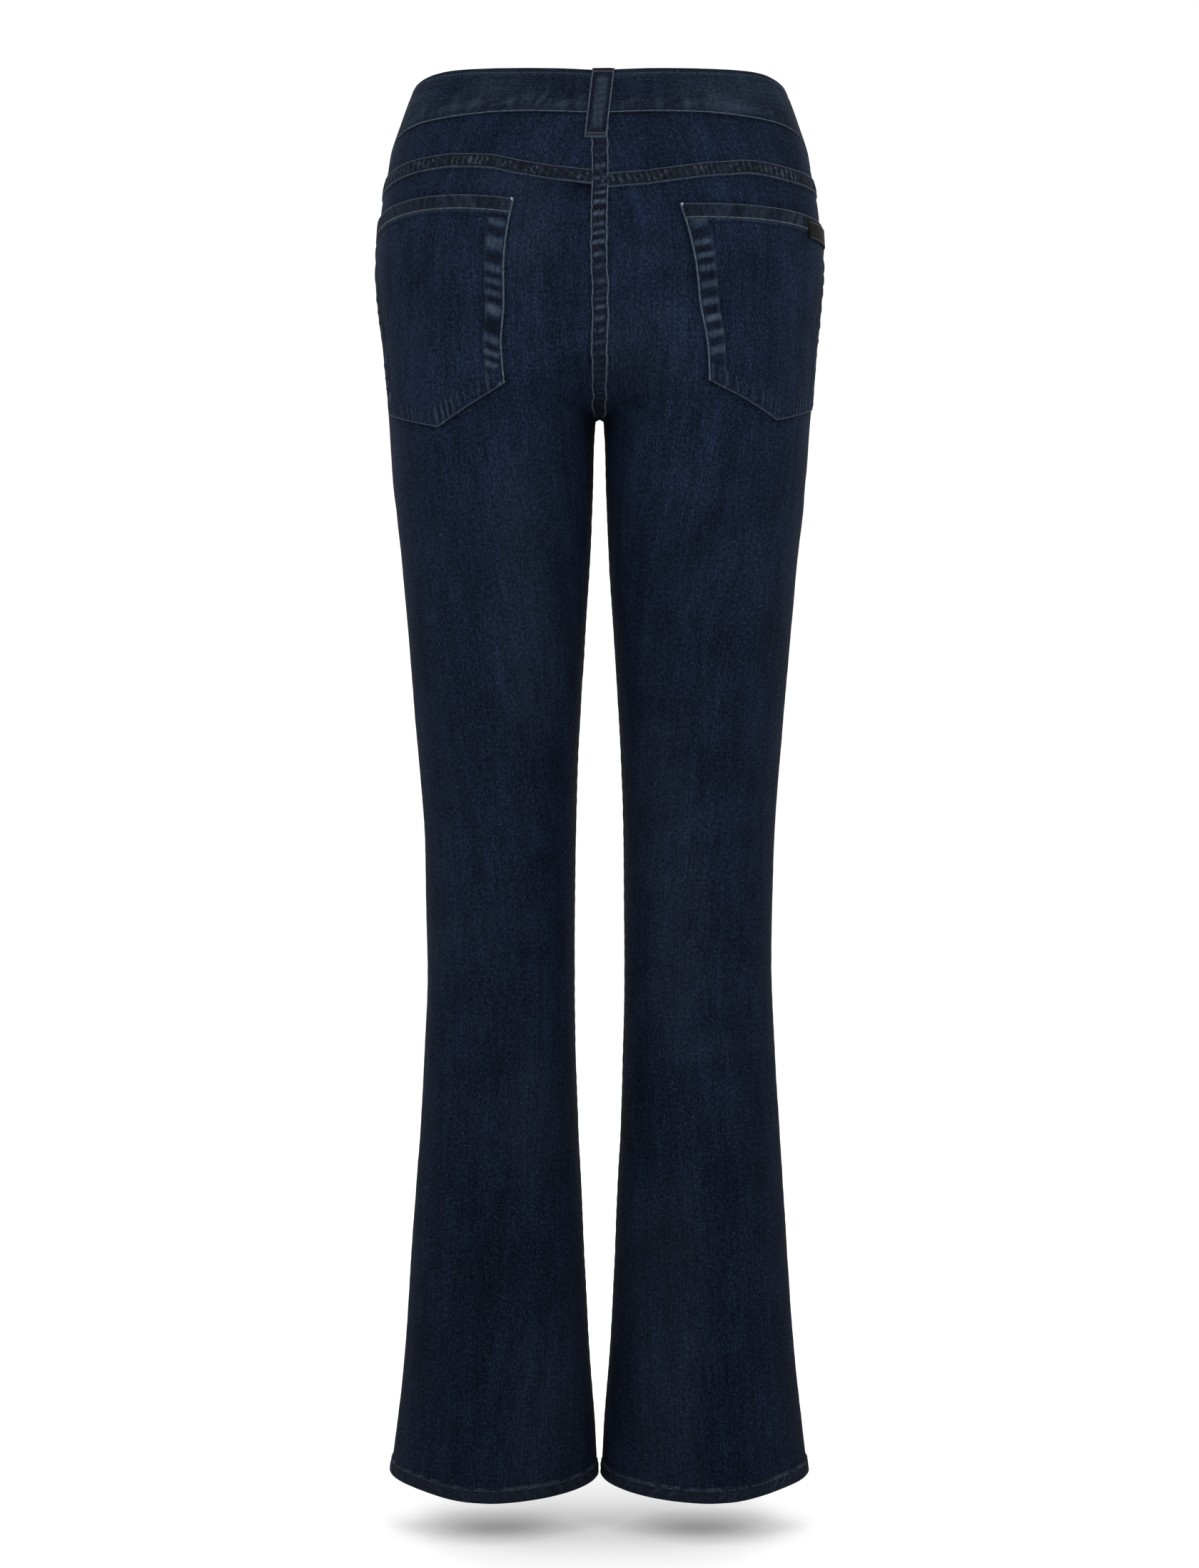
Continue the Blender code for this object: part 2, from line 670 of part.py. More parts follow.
for word, sign in (("left", -1), ("right", 1)):
    back_leg("back_leg_" + word, sign)
    front_leg("front_leg_" + word, sign)
    yoke("yoke_" + word, sign)
    pocket_facing("front_pocket_facing_" + word, sign)
    back_pocket("back_pocket_" + word, POCKETS[word])
waistband()
for loop in BELT_LOOPS:
    belt_loop(*loop)
pocket_tab()
waist_button()
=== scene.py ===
"""Looks of the bootcut jeans: fine cloth, seams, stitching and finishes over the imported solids.

The cloth follows the same form as the solids. A place on it is a signed arc length, from the
centre back or the inseam round to the centre front, positive on the wearer's right, and a
height. Every piece is a grid of such places, moved out by its own lift and by the folds.
"""

import math

import bpy
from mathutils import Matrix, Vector
import numpy as np


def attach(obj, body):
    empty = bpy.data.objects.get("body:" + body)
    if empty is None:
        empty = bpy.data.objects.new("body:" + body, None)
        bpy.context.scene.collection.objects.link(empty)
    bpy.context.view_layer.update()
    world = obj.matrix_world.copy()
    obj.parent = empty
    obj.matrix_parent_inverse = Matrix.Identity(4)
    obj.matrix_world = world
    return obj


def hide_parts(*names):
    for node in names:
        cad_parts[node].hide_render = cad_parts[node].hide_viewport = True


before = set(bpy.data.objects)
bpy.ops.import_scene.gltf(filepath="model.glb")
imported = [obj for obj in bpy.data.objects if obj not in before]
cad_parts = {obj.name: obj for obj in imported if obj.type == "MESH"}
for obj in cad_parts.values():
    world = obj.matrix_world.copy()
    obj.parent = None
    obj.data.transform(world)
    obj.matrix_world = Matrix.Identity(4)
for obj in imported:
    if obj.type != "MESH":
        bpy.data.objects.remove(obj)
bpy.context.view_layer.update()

# Form: drop below the waist, outer and inner edge of the leg, depth behind and in front of the
# widest point, where that point lies, and the power of the superellipse
SECTIONS = (
    # drop, outer, inner, back, front, middle, power
    (-0.012, 0.1395, -0.1395, 0.0900, 0.0830, 0.000, 2.20),
    (0.000, 0.1440, -0.1440, 0.0940, 0.0860, 0.000, 2.20),
    (0.022, 0.1515, -0.1515, 0.0990, 0.0905, 0.000, 2.22),
    (0.044, 0.1590, -0.1590, 0.1045, 0.0955, 0.000, 2.25),
    (0.070, 0.1645, -0.1645, 0.1105, 0.1010, 0.000, 2.28),
    (0.095, 0.1684, -0.1684, 0.1160, 0.1050, 0.000, 2.30),
    (0.135, 0.1702, -0.1702, 0.1220, 0.1085, 0.000, 2.30),
    (0.170, 0.1682, -0.1675, 0.1240, 0.1095, 0.000, 2.28),
    (0.200, 0.1652, -0.0955, 0.1215, 0.1080, 0.000, 2.25),
    (0.225, 0.1636, -0.0409, 0.1145, 0.1040, 0.000, 2.22),
    (0.240, 0.1628, -0.0104, 0.1085, 0.1000, 0.000, 2.20),
    (0.245, 0.1623, 0.0000, 0.1065, 0.0985, 0.000, 2.20),
    (0.248, 0.1620, 0.0034, 0.1055, 0.0980, 0.000, 2.20),
    (0.300, 0.1585, 0.0055, 0.0985, 0.0925, -0.001, 2.18),
    (0.365, 0.1515, 0.0083, 0.0905, 0.0860, 0.000, 2.15),
    (0.475, 0.1422, 0.0154, 0.0770, 0.0745, 0.003, 2.10),
    (0.585, 0.1342, 0.0192, 0.0660, 0.0655, 0.005, 2.08),
    (0.667, 0.1328, 0.0200, 0.0605, 0.0610, 0.003, 2.08),
    (0.750, 0.1356, 0.0184, 0.0590, 0.0590, -0.003, 2.08),
    (0.860, 0.1425, 0.0138, 0.0615, 0.0595, -0.006, 2.04),
    (0.970, 0.1500, 0.0080, 0.0640, 0.0615, -0.004, 1.95),
    (1.025, 0.1560, 0.0040, 0.0655, 0.0630, -0.002, 1.82),
    (1.075, 0.1625, 0.0014, 0.0665, 0.0640, -0.001, 1.68),
)
NAMES = ("drop", "outer", "inner", "back", "front", "middle", "power")
CROTCH_DROP = 0.245
INSEAM_FORWARD = math.radians(5)
INSEAM_EASE = 0.060
CENTRE_EASE = 0.008
SIDE_SHARE = 0.535

BOTH_SIDES = (("left", -1), ("right", 1))

# Waistband edges, by share of the way round from the centre back to the centre front
WAIST_LINE = (
    # share, upper edge, lower edge
    (0.00, 0.000, -0.0345),
    (0.20, 0.004, -0.0315),
    (0.35, 0.007, -0.0330),
    (0.50, 0.001, -0.0420),
    (0.75, -0.016, -0.0550),
    (1.00, -0.026, -0.0640),
)
LAP_SHARE = 0.060
LAP_RAMP = 0.045
LAP_GAP = 0.0003

# Yoke edge, by share of the way from the centre back to the side seam
YOKE_EDGE = (
    # share, drop on the left, drop on the right
    (0.00, 0.0890, 0.0915),
    (0.13, 0.0855, 0.0890),
    (0.24, 0.0806, 0.0847),
    (0.37, 0.0740, 0.0798),
    (0.52, 0.0712, 0.0766),
    (0.66, 0.0732, 0.0780),
    (0.90, 0.0800, 0.0790),
    (1.00, 0.0820, 0.0800),
)
YOKE_MEAN_DROP = 0.0800
YOKE_FADE_END = 0.175
YOKE_STRIP = 0.0110

HEM_DROP = 1.0605
HEM_HEIGHT = 0.0112
HEM_SLOPE = 0.115
HEM_FADE = (0.930, 1.030)
HEM_CORNER_RISE = 0.0030
HEM_CORNER = (0.099, 0.147)

# Front pocket mouth, by share of the way from the centre front to the side seam
MOUTH_START = 0.52
MOUTH_DEPTH = 0.085
MOUTH_POWER = 2.2
FRONT_TOP_MEAN = 0.050
FRONT_FADE_END = 0.245

# Tops and ends of the seams, as drops
BACK_SEAM_TOP = 0.0362
SEAT_SEAM_END = 0.2448
INSEAM_TOP = 0.2464
FINE_STEP = 0.0002
STRIP_STEP = 0.0012

WALL = 0.0015
BAND_WALL = 0.0020
BAND_PROUD = 0.0005
HALF_GAP = 0.00015

# Folds that the solids have too: share of the way round, drop, half length, half width, lean
# from level in degrees, and height
FOLDS = (
    # side, share, drop, length, width, lean, height
    (1, 0.13, 0.205, 0.060, 0.022, 12, -0.0016),
    (1, 0.16, 0.262, 0.060, 0.022, -24, 0.0012),
    (-1, 0.12, 0.212, 0.055, 0.022, 10, -0.0013),
    (-1, 0.17, 0.270, 0.060, 0.022, -28, 0.0011),
    (1, 0.27, 0.640, 0.050, 0.024, 14, 0.0018),
    (-1, 0.22, 0.625, 0.050, 0.024, 20, 0.0016),
    (1, 0.24, 0.700, 0.055, 0.024, -16, -0.0017),
    (-1, 0.26, 0.690, 0.050, 0.024, -12, -0.0015),
    (1, 0.80, 0.215, 0.060, 0.022, -22, 0.0018),
    (-1, 0.81, 0.222, 0.060, 0.022, -20, 0.0017),
    (1, 0.84, 0.262, 0.055, 0.022, 20, -0.0009),
    (-1, 0.83, 0.258, 0.055, 0.022, 24, -0.0010),
    (1, 0.74, 0.600, 0.050, 0.024, 12, 0.0015),
    (-1, 0.76, 0.660, 0.050, 0.024, -14, 0.0016),
)

# Smaller creases of the cloth alone, in the same form
CREASES = (
    # side, share, drop, length, width, lean, height
    (1, 0.07, 0.128, 0.024, 0.0050, 4, -0.0008),
    (1, 0.09, 0.143, 0.026, 0.0060, 8, 0.0004),
    (1, 0.06, 0.166, 0.022, 0.0055, -6, -0.0007),
    (1, 0.10, 0.184, 0.030, 0.0065, 10, 0.0005),
    (1, 0.06, 0.214, 0.026, 0.0060, 14, -0.0008),
    (1, 0.10, 0.236, 0.034, 0.0070, 24, -0.0009),
    (-1, 0.05, 0.118, 0.016, 0.0050, -4, -0.0005),
    (-1, 0.08, 0.152, 0.024, 0.0055, 6, -0.0005),
    (-1, 0.05, 0.196, 0.022, 0.0060, 12, -0.0006),
    (-1, 0.09, 0.232, 0.036, 0.0070, 28, -0.0009),
    (-1, 0.13, 0.250, 0.040, 0.0080, 34, 0.0006),
    (1, 0.14, 0.254, 0.040, 0.0080, 32, 0.0006),
    (-1, 0.045, 0.0955, 0.018, 0.0050, -10, -0.0011),
    (1, 0.31, 0.330, 0.050, 0.0110, -18, -0.0006),
    (-1, 0.28, 0.345, 0.055, 0.0120, -14, -0.0006),
    (1, 0.17, 0.470, 0.030, 0.0090, 22, -0.0006),
    (-1, 0.20, 0.520, 0.032, 0.0100, 26, -0.0006),
    (1, 0.30, 0.575, 0.042, 0.0090, -16, -0.0007),
    (1, 0.17, 0.602, 0.030, 0.0080, 24, 0.0006),
    (1, 0.36, 0.655, 0.034, 0.0080, 18, -0.0006),
    (1, 0.15, 0.668, 0.026, 0.0070, -20, -0.0007),
    (1, 0.28, 0.728, 0.040, 0.0095, -10, 0.0006),
    (-1, 0.31, 0.560, 0.042, 0.0090, -20, -0.0006),
    (-1, 0.16, 0.588, 0.026, 0.0080, 22, -0.0006),
    (-1, 0.35, 0.640, 0.034, 0.0085, 14, 0.0006),
    (-1, 0.19, 0.655, 0.030, 0.0075, -16, -0.0007),
    (-1, 0.27, 0.742, 0.044, 0.0095, 12, -0.0006),
    (1, 0.24, 0.880, 0.070, 0.0140, 64, -0.0006),
    (-1, 0.30, 0.900, 0.075, 0.0150, 70, -0.0006),
    (1, 0.90, 0.196, 0.040, 0.0070, -26, -0.0010),
    (1, 0.86, 0.226, 0.048, 0.0075, -30, 0.0008),
    (1, 0.93, 0.232, 0.030, 0.0060, -34, -0.0008),
    (1, 0.82, 0.245, 0.040, 0.0080, -18, -0.0007),
    (-1, 0.91, 0.204, 0.042, 0.0070, -24, -0.0010),
    (-1, 0.87, 0.234, 0.044, 0.0080, -32, 0.0008),
    (-1, 0.94, 0.228, 0.028, 0.0060, -30, -0.0008),
    (-1, 0.80, 0.252, 0.042, 0.0080, -14, -0.0006),
    (1, 0.79, 0.560, 0.040, 0.0090, 14, -0.0007),
    (1, 0.71, 0.640, 0.036, 0.0080, -12, -0.0007),
    (1, 0.83, 0.690, 0.034, 0.0085, 16, 0.0006),
    (-1, 0.72, 0.585, 0.038, 0.0090, -16, -0.0007),
    (-1, 0.80, 0.620, 0.034, 0.0080, 12, 0.0006),
    (-1, 0.74, 0.715, 0.040, 0.0090, 10, -0.0007),
    (1, 0.76, 0.880, 0.070, 0.0150, -66, -0.0006),
    (-1, 0.72, 0.860, 0.070, 0.0140, -70, -0.0006),
    (1, 0.50, 0.300, 0.040, 0.0110, 10, -0.0005),
    (-1, 0.51, 0.320, 0.044, 0.0110, -8, -0.0005),
)

# Back pockets: arc length behind the widest point and drop, at the inner corner, the middle
# and the outer corner of the mouth and of the foot
POCKETS = {
    "left": {
        "side": -1,
        "top": ((0.1690, 0.0990), (0.0825, 0.0925), (-0.0040, 0.1055)),
        "bottom": ((0.1644, 0.2340), (0.1070, 0.2650), (0.0417, 0.2500)),
    },
    "right": {
        "side": 1,
        "top": ((0.1737, 0.1030), (0.0850, 0.1005), (-0.0040, 0.1055)),
        "bottom": ((0.1539, 0.2320), (0.0934, 0.2590), (0.0303, 0.2445)),
    },
}
POCKET_LIFT = 0.0006
POCKET_THICK = 0.0010
POCKET_HEM = 0.0118
POCKET_HEM_RISE = 0.0008
POCKET_TURN_RISE = 0.0006
POCKET_TALL = 0.148
POCKET_WIDE = 0.172
POCKET_TAPER = 0.048

# Belt loops: share of the way round (negative on the left), how far the foot leans over, width,
# drop of the foot and bow over the band
BELT_LOOPS = (
    # name, share, lean, width, foot drop, bow
    ("belt_loop_centre_back", 0.0, -0.0030, 0.0165, 0.0535, 0.0010),
    ("belt_loop_side_right", 0.5350, 0.0, 0.0150, 0.0560, 0.0007),
    ("belt_loop_side_left", -0.5350, 0.0, 0.0150, 0.0560, 0.0007),
    ("belt_loop_front_right", 0.8000, 0.0, 0.0150, 0.0740, 0.0020),
    ("belt_loop_front_left", -0.8000, 0.0, 0.0150, 0.0740, 0.0020),
)
LOOP_THICK = 0.0013
LOOP_TACKS = 20
LOOP_FACE = 0.0003
LOOP_SEAM_RISE = 0.0012

TAB_SPAN = (0.0600, 0.0060)
TAB_DROPS = (0.1052, 0.1190)
TAB_THICK = 0.0009

# Finishes, as linear colours
INDIGO = (0.0046, 0.0083, 0.0192)
INDIGO_BAND = (0.0042, 0.0078, 0.0172)
FADED = (0.0330, 0.0465, 0.0680)
REVERSE = (0.0500, 0.0640, 0.0900)
THREAD = (0.0300, 0.0400, 0.0560)
THREAD_BRIGHT = (0.0620, 0.0800, 0.1050)
THREAD_KNOT = (0.1900, 0.2250, 0.2600)
THREAD_TACK = (0.029, 0.026, 0.031)
THREAD_TAB = (0.045, 0.050, 0.060)
BLACK = (0.0030, 0.0030, 0.0034)
REVERSE_FADED = (0.16, 0.19, 0.23)
BRASS_CLEAN = (0.50, 0.34, 0.17, 1.0)
BRASS_TARNISHED = (0.21, 0.13, 0.07, 1.0)

STITCH_PITCH = 0.0026
STITCH_GAP = 0.0005
ROPED = {"pitch": 0.0016, "gap": -0.0003, "twist": 0.38, "width": 0.00056}


# Form


def curve(xs, ys, x):
    """Values at x of a smooth curve through the given rows that never overshoots them."""
    xs = np.asarray(xs, float)
    ys = np.asarray(ys, float)
    x = np.asarray(x, float)
    steps = np.diff(xs)
    rises = np.diff(ys) / steps
    slopes = np.zeros(len(xs))
    slopes[0] = rises[0]
    slopes[-1] = rises[-1]
    for i in range(1, len(xs) - 1):
        if rises[i - 1] * rises[i] > 0:
            before = 2 * steps[i] + steps[i - 1]
            after = steps[i] + 2 * steps[i - 1]
            slopes[i] = (before + after) / (before / rises[i - 1] + after / rises[i])
    i = np.clip(np.searchsorted(xs, x) - 1, 0, len(steps) - 1)
    t = np.clip((x - xs[i]) / steps[i], 0.0, 1.0)
    rise = steps[i] * (slopes[i] * t * (1 - t) ** 2 - slopes[i + 1] * t**2 * (1 - t))
    return ys[i] * (1 + 2 * t) * (1 - t) ** 2 + ys[i + 1] * t**2 * (3 - 2 * t) + rise


def ease(start, end, x):
    """0 before start, 1 after end, and smooth between them."""
    t = np.clip((x - start) / (end - start), 0.0, 1.0)
    return t * t * (3 - 2 * t)


def hill(x, width):
    """1 at 0, falling to nearly nothing beyond two widths."""
    return np.exp(-((x / width) ** 2))


TABLE_DROPS = np.concatenate([
    np.arange(-0.0140, 0.1650, 0.0010),
    np.arange(0.1650, 0.2600, 0.00025),
    np.arange(0.2600, 1.0790, 0.0020),
])
SECTION_TABLE = {
    name: curve([row[0] for row in SECTIONS], [row[i] for row in SECTIONS], TABLE_DROPS)
    for i, name in enumerate(NAMES) if i
}
SECTION_TABLE["centre"] = (SECTION_TABLE["outer"] + SECTION_TABLE["inner"]) / 2
SECTION_TABLE["reach"] = (SECTION_TABLE["outer"] - SECTION_TABLE["inner"]) / 2
SLOPE_TABLE = {name: -np.gradient(values, TABLE_DROPS) for name, values in SECTION_TABLE.items()}
SHARES = np.linspace(0, 1, 301)


def sizes(height, table=SECTION_TABLE):
    """The section's numbers at each height, or their slopes."""
    return {name: np.interp(-height, TABLE_DROPS, values) for name, values in table.items()}


def ends(size, height):
    """Angles at which the right half of a section starts and ends."""
    split = size["centre"] / size["reach"]
    forward = INSEAM_FORWARD * ease(0.0, INSEAM_EASE, -height - CROTCH_DROP)
    cut = math.pi - np.arccos(np.clip(split, 0.0, 1.0) ** (size["power"] / 2))
    whole = split >= 1
    return np.where(whole, -math.pi - forward, -cut), np.where(whole, math.pi - forward, cut)


def section_point(size, angle):
    """Across and forward places of the right half at an angle."""
    across = np.cos(angle)
    along = np.sin(angle)
    bend = 2 / size["power"]
    x = size["centre"] + size["reach"] * np.sign(across) * np.abs(across) ** bend
    depth = np.where(along < 0, size["back"], size["front"])
    return x, size["middle"] + depth * np.sign(along) * np.abs(along) ** bend


def ring_tables():
    """For each height of the table: way round, arc of the widest point, and turn by share."""
    size = {name: values[:, None] for name, values in sizes(-TABLE_DROPS).items()}
    start, end = ends(size, -TABLE_DROPS[:, None])
    turns = np.linspace(0, 1, 321)
    angles = start + (end - start) * turns
    x, y = section_point(size, angles)
    arcs = np.cumsum(np.hypot(np.diff(x, axis=1), np.diff(y, axis=1)), axis=1)
    arcs = np.concatenate([np.zeros((len(arcs), 1)), arcs], axis=1)
    total = arcs[:, -1]
    turn = np.array([np.interp(SHARES, row / row[-1], turns) for row in arcs])
    widest = np.array([np.interp(0.0, a, row) for a, row in zip(angles, arcs)])
    return total, widest, turn


TOTAL, WIDEST, TURN = ring_tables()


def way_round(height):
    return np.interp(-np.asarray(height, float), TABLE_DROPS, TOTAL)


def flank(height):
    return np.interp(-np.asarray(height, float), TABLE_DROPS, WIDEST)


def side_seam(height):
    return SIDE_SHARE * way_round(height)


def section_terms(size, slope, across, along):
    """The two terms of a section's equation, how they grow downward, and its way out."""
    depth = np.where(along < 0, size["back"], size["front"])
    depth_slope = np.where(along < 0, slope["back"], slope["front"])
    power = size["power"]
    u = np.maximum(np.abs(across) / size["reach"], 1e-6)
    v = np.maximum(np.abs(along) / depth, 1e-6)
    grow_u = -np.sign(across) * slope["centre"] / size["reach"] - u * slope["reach"] / size["reach"]
    grow_v = -np.sign(along) * slope["middle"] / depth - v * depth_slope / depth
    steep_u = power * u ** (power - 1)
    steep_v = power * v ** (power - 1)
    out_x = steep_u * np.sign(across) / size["reach"]
    out_y = steep_v * np.sign(along) / depth
    return u, v, steep_u * grow_u, steep_v * grow_v, out_x, out_y


def form(arc, height):
    """Points and outward normals of the form at arcs and heights."""
    arc, height = np.broadcast_arrays(np.asarray(arc, float), np.asarray(height, float))
    total = way_round(height)
    side = np.where(np.signbit(arc), -1.0, 1.0)
    place = np.abs(arc)
    past = place > total
    side = np.where(past, -side, side)
    place = np.where(past, 2 * total - place, place)
    row = np.interp(-height, TABLE_DROPS, np.arange(len(TABLE_DROPS)))
    i = np.clip(row.astype(int), 0, len(TABLE_DROPS) - 2)
    down = row - i
    column = np.clip(place / total, 0, 1) * (len(SHARES) - 1)
    j = np.clip(column.astype(int), 0, len(SHARES) - 2)
    over = column - j
    turn = (
        TURN[i, j] * (1 - down) * (1 - over) + TURN[i + 1, j] * down * (1 - over)
        + TURN[i, j + 1] * (1 - down) * over + TURN[i + 1, j + 1] * down * over
    )
    size = sizes(height)
    start, end = ends(size, height)
    x, y = section_point(size, start + (end - start) * turn)
    slope = sizes(height, SLOPE_TABLE)
    across = x - size["centre"]
    along = y - size["middle"]
    u, v, rise_u, rise_v, out_x, out_y = section_terms(size, slope, across, along)
    rise = rise_u + u ** size["power"] * np.log(u) * slope["power"]
    rise += rise_v + v ** size["power"] * np.log(v) * slope["power"]
    joined = size["centre"] < size["reach"]
    out_x = np.where(joined, out_x * ease(0.0, CENTRE_EASE, x), out_x)
    normal = np.stack([side * out_x, out_y, rise], axis=-1)
    normal /= np.linalg.norm(normal, axis=-1, keepdims=True)
    return np.stack([side * x, y, height], axis=-1), normal


# Uneven numbers, the same on every run


def scatter(seed, *cells):
    """A number between -1 and 1 for each whole-numbered cell."""
    mixed = np.full(cells[0].shape, seed * 2654435761 % 4294967296, np.int64)
    for cell, factor in zip(cells, (73856093, 19349663, 83492791)):
        mixed ^= cell.astype(np.int64) * factor
    mixed &= 0xFFFFFFFF
    mixed = (mixed ^ (mixed >> 13)) * 1274126177 & 0xFFFFFFFF
    mixed ^= mixed >> 16
    return (mixed & 0xFFFF) / 32767.5 - 1


def wander(x, seed):
    """A smooth uneven curve between -1 and 1, with a new value at each whole number."""
    x = np.asarray(x, float)
    cell = np.floor(x)
    t = x - cell
    t = t * t * (3 - 2 * t)
    return scatter(seed, cell) * (1 - t) + scatter(seed, cell + 1) * t


def cloud(points, size, seed):
    """The same in space, over cells of the given size."""
    place = points / size
    cell = np.floor(place)
    t = place - cell
    t = t * t * (3 - 2 * t)
    made = np.zeros(points.shape[:-1])
    for corner in range(8):
        step = np.array([corner & 1, corner >> 1 & 1, corner >> 2])
        weight = np.prod(np.where(step, t, 1 - t), axis=-1)
        at = cell + step
        made += weight * scatter(seed, at[..., 0], at[..., 1], at[..., 2])
    return made


def pucker(along, pitch, seed, sway=0.45):
    """A wave of uneven pitch and strength along a seam, between -1 and 1."""
    phase = along / pitch + sway * wander(along / (2.1 * pitch), seed)
    strength = 0.65 + 0.35 * wander(along / (1.6 * pitch), seed + 7)
    return np.cos(2 * math.pi * phase) * strength


def fold_height(arc, height, table):
    """How far the listed folds move the cloth outward."""
    total = way_round(height)
    place = np.abs(arc)
    side = np.where(np.signbit(arc), -1, 1)
    side = np.where(place > total, -side, side)
    place = np.where(place > total, 2 * total - place, place)
    moved = np.zeros(np.shape(place))
    for fold_side, share, drop, length, width, lean, rise in table:
        over = place - share * total
        down = -height - drop
        turn = math.radians(lean)
        along = over * math.cos(turn) + down * math.sin(turn)
        across = down * math.cos(turn) - over * math.sin(turn)
        moved += np.where(side == fold_side, rise * hill(along, length) * hill(across, width), 0.0)
    return moved


UNEVEN = (
    # height, size of its patches, seed
    (0.00045, 0.034, 11),
    (0.00018, 0.013, 12),
)


def drape(arc, height, point):
    """How far folds, creases and the cloth's own unevenness, longer down it, move it outward."""
    moved = fold_height(arc, height, FOLDS) + fold_height(arc, height, CREASES)
    stretched = point * np.array([1.0, 1.0, 0.6])
    for rise, size, seed in UNEVEN:
        moved += rise * cloud(stretched, size, seed)
    return moved


# Meshes


def spread(count, fine):
    """Shares and offsets of grid lines: fine distances from both edges, evenly between."""
    fine = np.asarray(fine, float)
    middle = np.linspace(0, 1, count)
    share = np.concatenate([np.zeros(len(fine) - 1), middle, np.ones(len(fine) - 1)])
    offset = np.concatenate([fine[:-1], fine[-1] * (1 - 2 * middle), -fine[:-1][::-1]])
    return share, offset


def edge_fall(distance, depth=0.0008, reach=0.0016):
    """How far the cloth turns down towards an edge."""
    return -depth * (1 - np.clip(distance / reach, 0, 1)) ** 2


SHARP_ANGLE = math.radians(50)
CENTRE_CLEAR = 0.00002


def piece_mesh(name, points, faces, uv, tone, materials, inside=None):
    """An object from points, four-sided faces, cloth places in metres and tones."""
    mesh = bpy.data.meshes.new(name)
    mesh.from_pydata(points.tolist(), [], faces.tolist() if hasattr(faces, "tolist") else faces)
    mesh.validate()
    mesh.update()
    loops = np.zeros(len(mesh.loops), np.int32)
    mesh.loops.foreach_get("vertex_index", loops)
    layer = mesh.uv_layers.new(name="cloth")
    layer.data.foreach_set("uv", uv[loops].astype(np.float32).ravel())
    colours = np.ones((len(points), 4), np.float32)
    colours[:, :3] = tone
    attribute = mesh.color_attributes.new("tone", "FLOAT_COLOR", "POINT")
    attribute.data.foreach_set("color", colours.ravel())
    for material in materials:
        mesh.materials.append(material)
    if inside is not None:
        mesh.polygons.foreach_set("material_index", inside.astype(np.int32))
    mesh.shade_smooth()
    mesh.set_sharp_from_angle(angle=SHARP_ANGLE)
    made = bpy.data.objects.new(name, mesh)
    bpy.context.scene.collection.objects.link(made)
    return made


def enclosed(points, faces):
    """Six times the volume that the four-sided faces hold, negative if they face inward."""
    a, b, c, d = (points[faces[:, k]] for k in range(4))
    return float((np.cross(a, b) * c).sum() + (np.cross(a, c) * d).sum())


def shell(name, outer, inner, uv, tone, materials, ring=False):
    """A closed wall between two grids of points. A ring joins its last column to its first."""
    rows, columns = outer.shape[:2]
    behind = rows * columns
    across = columns if ring else columns - 1
    i, j = np.meshgrid(np.arange(rows - 1), np.arange(across), indexing="ij")
    i = i.ravel() * columns
    j = j.ravel()
    k = (j + 1) % columns
    front = np.stack([i + j, i + k, i + columns + k, i + columns + j], 1)
    back = front[:, ::-1] + behind
    if ring:
        first = np.arange(columns)
        after = (first + 1) % columns
        foot = (rows - 1) * columns
        rim = np.concatenate([
            np.stack([after, first, first + behind, after + behind], 1),
            np.stack([first, after, after + behind, first + behind], 1) + foot,
        ])
    else:
        loop = np.concatenate([
            np.arange(columns - 1),
            np.arange(rows - 1) * columns + columns - 1,
            (rows - 1) * columns + np.arange(columns - 1, 0, -1),
            np.arange(rows - 1, 0, -1) * columns,
        ])
        after = np.roll(loop, -1)
        rim = np.stack([after, loop, loop + behind, after + behind], 1)
    points = np.concatenate([outer.reshape(-1, 3), inner.reshape(-1, 3)])
    faces = np.concatenate([front, back, rim])
    if enclosed(points, faces) < 0:
        faces = faces[:, ::-1]
    inside = np.concatenate([np.zeros(len(front)), np.ones(len(back)), np.zeros(len(rim))])
    uv = np.concatenate([uv.reshape(-1, 2)] * 2)
    tone = np.concatenate([tone.reshape(-1, 3)] * 2)
    return piece_mesh(name, points, faces, uv, tone, materials, inside)


def tones(shape, wear=0.0, shade=0.0, rust=0.0):
    """Tone grid: how worn, how dark (painted shade for the most part) and how brown."""
    parts = [np.broadcast_to(np.clip(part, 0, 1), shape) for part in (wear, shade, rust)]
    return np.stack(parts, axis=-1)


def grain_places(arc, height, grain="leg"):
    """Cloth places in metres, whose second number runs along the warp."""
    arc, height = np.broadcast_arrays(arc, height)
    if grain == "leg":
        leg = np.where(np.signbit(arc), 1.0, 3.0)
        return np.stack([leg + np.abs(arc) - flank(height), height + 2.0], axis=-1)
    if grain == "turned":
        return np.stack([height + 5.0, arc + 2.0], axis=-1)
    return np.stack([arc + 7.0, height + 2.0], axis=-1)


def cloth(name, arc, height, lift, under, materials, shift=0.0, wear=0.0, shade=0.0, rust=0.0,
          ring=False, half=0, grain="leg"):
    """A cloth piece: its outer side at lift and its inner side at under, over the folded form.

    shift moves it down, half keeps it on its own side of the centre plane, and ring closes it
    round a leg. The grain runs down the leg, down the body, or, when turned, round the body.
    """
    arc, height = np.broadcast_arrays(np.asarray(arc, float), np.asarray(height, float))
    point, normal = form(arc, height)
    moved = drape(arc, height, point)
    outer = point + normal * (lift + moved)[..., None]
    inner = point + normal * (under + moved)[..., None]
    for grid in (outer, inner):
        grid[..., 2] -= shift
        if half:
            grid[..., 0] = half * np.maximum(half * grid[..., 0], CENTRE_CLEAR)
    uv = grain_places(arc, height, grain)
    return shell(name, outer, inner, uv, tones(arc.shape, wear, shade, rust), materials, ring)


